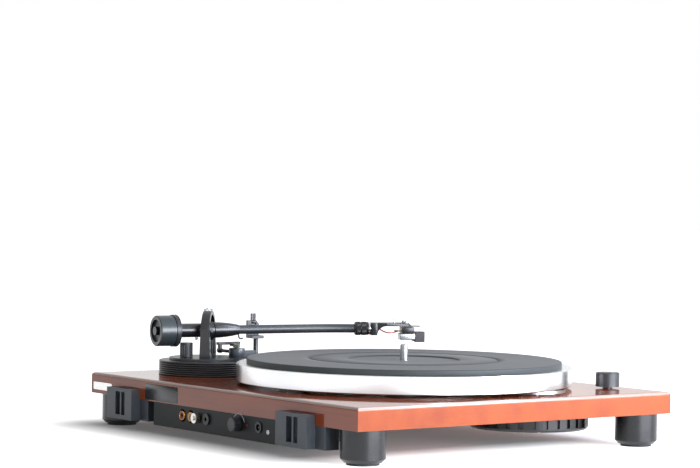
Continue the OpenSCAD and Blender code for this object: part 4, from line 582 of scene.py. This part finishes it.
weightLook = {"bandRun": (-34.0, -33.05), "bandRadius": 15.0, "bandBore": 14.2, "bandEase": (0.1, 0.2, 0.5),
              "ticks": 40, "tickReach": (10.4, 13.2), "longEvery": 5, "shortBy": 1.1, "tickWidth": 0.45,
              "tickHeight": 0.12, "dialFace": -33.0, "screwRun": -12.1, "stubRadius": 6.5,
              "screw": [(0, -2.4), (0.5, -2.4), (0.5, -1.9), (0.9, -1.9), (1.25, -2.3), (1.4, -2.0),
                        (1.4, 0.4), (0, 0.4)],
              "hook": [(31.6, 0, -3.6), (31.8, 0, -6.4), (32.6, 0, -8.0), (34.4, 0, -8.6), (36.4, 0, -8.2)],
              "hookRadius": 0.75}


def addArmTrim():
    back, front = weightLook["bandRun"]
    radius, bore = weightLook["bandRadius"], weightLook["bandBore"]
    inset, run, chamfer = weightLook["bandEase"]
    band = [(bore, back), (radius - inset, back), (radius, back + run), (radius - inset, front - run),
            (radius - chamfer, front), (bore, front)]
    addPiece("dialBand", lathe(band, 96, closed=True), "blackedSteel", "dial", (),
             armPlace)
    ticks = []
    for i in range(weightLook["ticks"]):
        inner, outer = weightLook["tickReach"]
        inner += weightLook["shortBy"] if i % weightLook["longEvery"] else 0
        half = weightLook["tickWidth"] / 2
        tick = raisedOutline([(inner, -half), (outer, -half), (outer, half), (inner, half)], 0,
                             weightLook["tickHeight"])
        tick.transform(Matrix.Rotation(2 * math.pi * i / weightLook["ticks"], 4, "Z"))
        ticks.append(tick)
    face = (armPlace @ Matrix.Translation((weightLook["dialFace"] * mm, 0, 0))
            @ Matrix.Rotation(math.pi / 2, 4, "Y"))
    addPiece("dialTicks", joinShapes(ticks), "whiteInk", "dial", (), face)
    screw = [(reach, rise - weightLook["stubRadius"]) for reach, rise in weightLook["screw"]]
    place = armPlace @ Matrix.Translation((weightLook["screwRun"] * mm, 0, 0)) @ upright
    addPiece("stubSetScrew", lathe(screw, 24), "chrome", "arm", (), place)
    addPiece("leadHook", sweepTube(weightLook["hook"], weightLook["hookRadius"], 12), "armEnamel", "arm",
             (), armPlace)


addArmTrim()

# headshell: two-part cartridge, coloured leads on gold pins, upright set screw
headLook = {"bodyRun": (45.5, 57.5), "bodyWidth": 16.6, "bodyTop": 1.7, "bodyFloor": -4.3, "bodyEdge": 0.6,
            "seam": 0.02, "caseRun": (43.5, 58.5), "caseWidth": 14.6, "caseFloor": -10.5, "caseEdge": 0.8,
            "railInset": (2, 3), "railProud": 0.35, "railRise": (2.2, 3.4), "railEdge": 0.3,
            "leadFrom": (24.4, -0.2), "leadTo": (42.2, -2.3), "sag": 2.8, "sagSpread": 0.08, "pinch": 0.12,
            "leadPitch": 2.6, "leadRadius": 0.42, "leadSteps": 16,
            "pin": [(0, -2.6), (0.5, -2.6), (0.75, -2.2), (0.75, 0.2), (0.45, 0.3), (0.45, 3.4), (0, 3.4)],
            "setScrewRun": 39, "shellTop": 5.7,
            "setScrew": [(0, -0.4), (0.75, -0.4), (0.75, 3.6), (0.6, 3.9), (0.35, 3.9), (0.3, 3.4),
                         (0, 3.4)]}


def addCartridge():
    start, stop = headLook["bodyRun"]
    half, floor = headLook["bodyWidth"] / 2, headLook["bodyFloor"]
    body = roundedBox((start, -half, floor + headLook["seam"]), (stop, half, headLook["bodyTop"]),
                      headLook["bodyEdge"])
    addPiece("cartridgeBody", body, "cartridgeBlack", "arm", ["cartridge"], shellPlace)
    start, stop = headLook["caseRun"]
    half, under = headLook["caseWidth"] / 2, headLook["caseFloor"]
    (rear, front), (low, high) = headLook["railInset"], headLook["railRise"]
    proud = half + headLook["railProud"]
    case = joinShapes([
        roundedBox((start, -half, under), (stop, half, floor), headLook["caseEdge"]),
        roundedBox((start + rear, -proud, under + low), (stop - front, proud, under + high),
                   headLook["railEdge"])])
    addPiece("cartridgeCase", case, "cartridgeSilver", "arm", (), shellPlace)
    pins = []
    (fromRun, fromRise), (toRun, toRise) = headLook["leadFrom"], headLook["leadTo"]
    for i, colour in enumerate(leadColours):
        rank = i - (len(leadColours) - 1) / 2
        side = rank * headLook["leadPitch"]
        sag = 4 * headLook["sag"] * (1 + headLook["sagSpread"] * rank)
        points = []
        for k in range(headLook["leadSteps"] + 1):
            t = k / headLook["leadSteps"]
            points.append((fromRun + (toRun - fromRun) * t,
                           side * (1 - headLook["pinch"] * math.sin(math.pi * t)),
                           fromRise + (toRise - fromRise) * t - sag * t * (1 - t)))
        stands = ["headshell_leads"] if i == 0 else ()
        addPiece("lead_" + colour, sweepTube(points, headLook["leadRadius"], 10), "lead_" + colour, "arm",
                 stands, shellPlace, 60)
        pin = lathe(headLook["pin"], 16)
        pin.transform(Matrix.Translation((toRun * mm, side * mm, toRise * mm)))
        pins.append(pin)
    addPiece("leadPins", joinShapes(pins), "gold", "arm", (), shellPlace)
    screw = [(reach, headLook["shellTop"] + rise) for reach, rise in headLook["setScrew"]]
    addPiece("shellSetScrew", lathe(screw, 20), "zinc", "arm", (),
             shellPlace @ Matrix.Translation((headLook["setScrewRun"] * mm, 0, 0)) @ upright)


addCartridge()
print("arm detailed")

# rear panel: phono sockets, selector marks, small screw, bare plates on the board's edge
rearLook = {"socketHeight": 20.5,
            "phono": {"Red": (49.2, "redNylon", "absSocket", "rca_socket_red", "red_plastic"),
                      "Cream": (35.6, "creamNylon", "gold", "rca_socket_white", "cream_plastic")},
            "barrel": 1.0, "barrelRadius": 4.15, "barrelBore": 3.65, "cup": (5.65, 6.55), "cupFloor": -10,
            "cupTop": -2.05, "cupWall": 0.9, "play": 0.02, "insulatorRise": 4, "insulatorBore": 1.75,
            "heartRadius": 1.7, "selectorAt": -40.2, "arc": (8.6, 9.3, 15, 165), "arcHeight": 0.12,
            "dotAt": (-53.0, 20.5), "dot": (0.2, 1.1, 0, 359, 28), "dotHeight": 0.14,
            "screwAt": (-84.5, 17.5),
            "screw": [(0, 0.45), (0.6, 0.45), (0.7, 0.9), (1.5, 0.75), (2.1, 0.1), (2.1, -0.3), (0, -0.3)],
            "plate": (58, 30, 113, 44.5), "sticker": (173, 32.5, 206, 39.5), "plateCorner": 1.2,
            "plateSunk": -0.22, "plateProud": 0.05, "plateEdge": 0.06}


def addPhono(name, place, insulator, centre, node, ringSlot):
    radius, bore, end = rearLook["barrelRadius"], rearLook["barrelBore"], rearLook["barrel"]
    floor, deep = rearLook["cupFloor"], rearLook["cupFloor"] + rearLook["insulatorRise"]
    shell = [(bore, floor), (radius, floor), (radius, end - 0.3), (radius - 0.2, end), (bore + 0.1, end),
             (bore, end - 0.2)]
    addPiece("phonoBarrel" + name, lathe(shell, 48, closed=True), "gold", "deck", [node],
             place)
    (cupInner, cupOuter), cupTop = rearLook["cup"], rearLook["cupTop"]
    hole, web = radius + rearLook["play"], floor + rearLook["cupWall"]
    cup = [(hole, floor), (cupOuter, floor), (cupOuter, cupTop), (cupInner, cupTop), (cupInner, web),
           (hole, web)]
    addPiece("phonoCup" + name, lathe(cup, 48, closed=True), "absSocket", "deck", (),
             place)
    inner, outer = rearLook["insulatorBore"], bore - rearLook["play"]
    ring = [(inner, deep), (outer, deep), (outer, end - 0.5), (bore - 0.3, end - 0.2),
            (inner + 0.25, end - 0.2), (inner, end - 0.5)]
    addPiece("phonoRing" + name, lathe(ring, 48, closed=True), insulator, "deck", (), place)
    wide = rearLook["heartRadius"]
    heart = [(0, deep + 0.1), (wide, deep + 0.1), (wide, end - 2.2), (0.9, end - 2.0), (0.8, end - 3.5),
             (0, end - 3.5)]
    addPiece("phonoHeart" + name, lathe(heart, 24), centre, "deck", (), place)


def addRearPanel():
    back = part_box("socket_panel")[1][1] / mm
    height = rearLook["socketHeight"]
    for name, (across, *fit) in rearLook["phono"].items():
        addPhono(name, Matrix.Translation((across * mm, back * mm, height * mm)) @ rearward, *fit)
    flat = (Matrix.Translation((0, back * mm, 0))
            @ Matrix(((-1, 0, 0, 0), (0, 0, 1, 0), (0, 1, 0, 0), (0, 0, 0, 1))))
    arc = raisedOutline(sector(*rearLook["arc"]), 0, rearLook["arcHeight"])
    arc.transform(Matrix.Translation((-rearLook["selectorAt"] * mm, height * mm, 0)))
    addPiece("selectorArc", arc, "whiteInk", "deck", (), flat)
    dot = raisedOutline(sector(*rearLook["dot"]), 0, rearLook["dotHeight"])
    across, up = rearLook["dotAt"]
    dot.transform(Matrix.Translation((-across * mm, up * mm, 0)))
    addPiece("selectorDot", dot, "redInk", "deck", (), flat)
    across, up = rearLook["screwAt"]
    addPiece("panelScrew", lathe(rearLook["screw"], 24), "zinc", "deck", (),
             Matrix.Translation((across * mm, back * mm, up * mm)) @ rearward)
    edge = Matrix.Translation((0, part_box("plinth")[1][1], 0)) @ Matrix(
        ((1, 0, 0, 0), (0, 0, -1, 0), (0, 1, 0, 0), (0, 0, 0, 1)))
    for name, finish in (("plate", "plateVinyl"), ("sticker", "labelPaper")):
        plate = raisedOutline(roundedPlate(*rearLook[name], rearLook["plateCorner"]), rearLook["plateSunk"],
                              rearLook["plateProud"], rearLook["plateEdge"])
        addPiece("bare" + name.capitalize(), plate, finish, "deck", (), edge)


addRearPanel()

# knobs: index marks
knobLook = {"marks": {"speed": ("speed_knob", "speed", 4.0, 9.4),
                      "antiskate": ("antiskate_knob", "antiskate", 1.2, 5.2)},
            "half": 0.45, "sunk": -0.25, "proud": 0.14, "edge": 0.12}


def addKnobMarks():
    half, sunk, proud = knobLook["half"], knobLook["sunk"], knobLook["proud"]
    for name, (node, body, start, stop) in knobLook["marks"].items():
        low, high = (Vector(corner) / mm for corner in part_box(node))
        mark = roundedBox((-half, -stop, sunk), (half, -start, proud), knobLook["edge"], 2)
        place = Matrix.Translation(((low.x + high.x) / 2 * mm, (low.y + high.y) / 2 * mm, high.z * mm))
        addPiece(name + "Mark", mark, "whiteInk", body, (), place)


addKnobMarks()

# painted shade: a dark sheet just inside the vented cover, so that its slots show dark instead of daylight
ventShadeLook = {"inset": 2.1, "wall": 0.4, "floor": 2.0, "headroom": 0.3}


def addVentShadeSheet():
    low, high = (Vector(corner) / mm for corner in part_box("motor_cover"))
    outer = (high.x - low.x) / 2 - ventShadeLook["inset"]
    inner, top = outer - ventShadeLook["wall"], high.z - low.z - ventShadeLook["headroom"]
    ring = [(inner, ventShadeLook["floor"]), (outer, ventShadeLook["floor"]), (outer, top), (inner, top)]
    place = Matrix.Translation(((low.x + high.x) / 2 * mm, (low.y + high.y) / 2 * mm, low.z * mm)) @ upright
    addPiece("ventShadeSheet", lathe(ring, 96, closed=True), "absSocket", "deck", (), place)


addVentShadeSheet()
print("panel, knobs and cover detailed")

# moulded and cast edges are never knife-sharp: a small round catches the light (mm and degrees)
edgeLook = {"rounds": {"lid_socket_left": 0.5, "lid_socket_right": 0.5, "arm_arch": 0.6, "headshell": 0.35,
                       "finger_lift": 0.3, "rest_cradle": 0.35, "rest_clip": 0.25, "cue_lever": 0.4,
                       "lift_housing": 0.5, "stylus_guard": 0.5, "arm_rest": 0.4, "socket_panel": 0.3,
                       "electronics_tray": 0.5},
            "weld": 0.02, "flatTo": 0.5, "sharpFrom": 40, "segments": 2}
for nodeName, width in edgeLook["rounds"].items():
    weld = nodes[nodeName].modifiers.new("weld", "WELD")
    weld.merge_threshold = edgeLook["weld"] * mm
    flatten = nodes[nodeName].modifiers.new("flatten", "DECIMATE")
    flatten.decimate_type = "DISSOLVE"
    flatten.angle_limit = math.radians(edgeLook["flatTo"])
    soften = nodes[nodeName].modifiers.new("soften", "BEVEL")
    soften.width = width * mm
    soften.segments = edgeLook["segments"]
    soften.limit_method = "ANGLE"
    soften.angle_limit = math.radians(edgeLook["sharpFrom"])
    soften.harden_normals = True
print("edges softened:", len(edgeLook["rounds"]))

# camera, fitted to the photo: metres and radians in the part's own frame
viewFit = {"at": (-1.623163, 1.214600, 0.205540), "yaw": -0.633634, "pitch": -0.011774, "roll": 0.014107,
           "focalPixels": 2238.43, "photoWidth": 700, "sensor": 36.0, "clip": (0.05, 100)}


def addCamera():
    ahead = Vector((math.cos(viewFit["yaw"]) * math.cos(viewFit["pitch"]),
                    math.sin(viewFit["yaw"]) * math.cos(viewFit["pitch"]), math.sin(viewFit["pitch"])))
    right = ahead.cross(Vector((0, 0, 1))).normalized()
    up = right.cross(ahead)
    roll = viewFit["roll"]
    tiltedRight = math.cos(roll) * right + math.sin(roll) * up
    tiltedUp = -math.sin(roll) * right + math.cos(roll) * up
    data = bpy.data.cameras.new("photoView")
    data.sensor_width = viewFit["sensor"]
    data.sensor_fit = "HORIZONTAL"
    data.lens = viewFit["focalPixels"] / viewFit["photoWidth"] * viewFit["sensor"]
    data.clip_start, data.clip_end = viewFit["clip"]
    camera = bpy.data.objects.new("photoView", data)
    scene.collection.objects.link(camera)
    turn = Matrix((tiltedRight, tiltedUp, -ahead)).transposed().to_4x4()
    camera.matrix_world = Matrix.Translation(viewFit["at"]) @ turn
    scene.camera = camera


# white studio: bright all round but for a black flag that keeps the board's rear face dark, a floor that
# turns white at a distance, and two softboxes (metres, watts)
studio = {"level": 1.0, "ambientShare": 0.21, "flagTurn": 50, "flagDark": 0.06, "flagSpan": (22, 11),
          "floorColour": "#e2e2e2", "floorGlow": 0.1, "floorMiddle": (0.04, 0.01),
          "floorHalf": (0.15, 0.145), "floorReach": 0.085, "floorRadius": 20,
          "key": {"from": (-1.545, -0.414, 0.27), "along": (-0.26, 0.966, 0), "size": (1.8, 0.8),
                  "watts": 67, "colour": "#f2f6ff"},
          "strip": {"from": (-1.05, -1.2, 1.2), "along": (0.755, 0, 0.656), "size": (2.0, 0.2),
                    "watts": 27, "colour": "#dbe8ff"}}


def addWorld():
    world = bpy.data.worlds.new("whiteStudio")
    scene.world = world
    world.use_nodes = True
    tree = world.node_tree
    tree.nodes.clear()
    coords = addNode(tree, "ShaderNodeTexCoord")
    turn = math.radians(studio["flagTurn"])
    facing = addNode(tree, "ShaderNodeVectorMath",
                     {"operation": "DOT_PRODUCT", 1: (math.cos(turn), math.sin(turn), 0)},
                     {0: coords.outputs["Generated"]})
    outer, inner = (math.cos(math.radians(span)) for span in studio["flagSpan"])
    level = addNode(tree, "ShaderNodeMapRange",
                    {"interpolation_type": "SMOOTHSTEP", "From Min": outer, "From Max": inner,
                     "To Min": studio["level"], "To Max": studio["flagDark"]},
                    {"Value": facing.outputs["Value"]})
    ray = addNode(tree, "ShaderNodeLightPath")
    share = addNode(tree, "ShaderNodeMapRange", {"To Min": studio["ambientShare"], "To Max": 1.0},
                    {"Value": ray.outputs["Is Glossy Ray"]})
    shown = addNode(tree, "ShaderNodeMath", {"operation": "MULTIPLY"},
                    {0: level.outputs["Result"], 1: share.outputs["Result"]})
    seen = addNode(tree, "ShaderNodeMath", {"operation": "MAXIMUM"},
                   {0: ray.outputs["Is Camera Ray"], 1: ray.outputs["Is Transmission Ray"]})
    strength = addNode(tree, "ShaderNodeMath", {"operation": "MAXIMUM"},
                       {0: shown.outputs["Value"], 1: seen.outputs["Value"]})
    sky = addNode(tree, "ShaderNodeBackground", {"Color": (1, 1, 1, 1)},
                  {"Strength": strength.outputs["Value"]})
    addNode(tree, "ShaderNodeOutputWorld", None, {"Surface": sky.outputs["Background"]})


def addFloor():
    shape = bmesh.new()
    bmesh.ops.create_circle(shape, cap_ends=True, segments=64, radius=studio["floorRadius"])
    mesh = bpy.data.meshes.new("floor")
    shape.to_mesh(mesh)
    shape.free()
    floor = bpy.data.objects.new("floor", mesh)
    scene.collection.objects.link(floor)
    material = bpy.data.materials.new("paperSweep")
    material.use_nodes = True
    tree = material.node_tree
    tree.nodes.clear()
    coords = addNode(tree, "ShaderNodeTexCoord")
    centred = addNode(tree, "ShaderNodeVectorMath",
                      {"operation": "SUBTRACT", 1: (*studio["floorMiddle"], 0)},
                      {0: coords.outputs["Object"]})
    folded = addNode(tree, "ShaderNodeVectorMath", {"operation": "ABSOLUTE"}, {0: centred.outputs["Vector"]})
    past = addNode(tree, "ShaderNodeVectorMath", {"operation": "SUBTRACT", 1: (*studio["floorHalf"], 0)},
                   {0: folded.outputs["Vector"]})
    outside = addNode(tree, "ShaderNodeVectorMath", {"operation": "MAXIMUM", 1: (0, 0, 0)},
                      {0: past.outputs["Vector"]})
    distance = addNode(tree, "ShaderNodeVectorMath", {"operation": "LENGTH"}, {0: outside.outputs["Vector"]})
    fade = addNode(tree, "ShaderNodeMapRange",
                   {"interpolation_type": "SMOOTHSTEP", "From Min": 0.0, "From Max": studio["floorReach"]},
                   {"Value": distance.outputs["Value"]})
    ray = addNode(tree, "ShaderNodeLightPath")
    direct = addNode(tree, "ShaderNodeMath", {"operation": "MAXIMUM"},
                     {0: ray.outputs["Is Camera Ray"], 1: ray.outputs["Is Glossy Ray"]})
    seen = addNode(tree, "ShaderNodeMath", {"operation": "MAXIMUM"},
                   {0: direct.outputs["Value"], 1: ray.outputs["Is Transmission Ray"]})
    glow = addNode(tree, "ShaderNodeMapRange", {"To Min": studio["floorGlow"], "To Max": 1.0},
                   {"Value": fade.outputs["Result"]})
    shown = addNode(tree, "ShaderNodeMath", {"operation": "MULTIPLY"},
                    {0: glow.outputs["Result"], 1: seen.outputs["Value"]})
    lamp = addNode(tree, "ShaderNodeEmission", {"Color": (1, 1, 1, 1)}, {"Strength": shown.outputs["Value"]})
    paper = addNode(tree, "ShaderNodeBsdfDiffuse", {"Color": linear(studio["floorColour"])})
    both = addNode(tree, "ShaderNodeAddShader", None,
                   {0: paper.outputs["BSDF"], 1: lamp.outputs["Emission"]})
    side = addNode(tree, "ShaderNodeNewGeometry")
    clear = addNode(tree, "ShaderNodeBsdfTransparent")
    oneSided = addNode(tree, "ShaderNodeMixShader", None,        # from below the floor is clear
                       {0: side.outputs["Backfacing"], 1: both.outputs["Shader"], 2: clear.outputs["BSDF"]})
    addNode(tree, "ShaderNodeOutputMaterial", None, {"Surface": oneSided.outputs["Shader"]})
    mesh.materials.append(material)


def addSoftbox(name, look):
    data = bpy.data.lights.new(name, "AREA")
    data.shape = "RECTANGLE"
    data.size, data.size_y = look["size"]
    data.energy = look["watts"]
    data.color = linear(look["colour"])[:3]
    lamp = bpy.data.objects.new(name, data)
    scene.collection.objects.link(lamp)
    out = Vector(look["from"]).normalized()
    over = out.cross(Vector(look["along"])).normalized()
    lamp.matrix_world = (Matrix.Translation(look["from"])
                         @ Matrix((over.cross(out), over, out)).transposed().to_4x4())


addCamera()
addWorld()
addFloor()
addSoftbox("keySoftbox", studio["key"])
addSoftbox("stripLight", studio["strip"])
scene.view_settings.view_transform = "Standard"
print("studio ready")
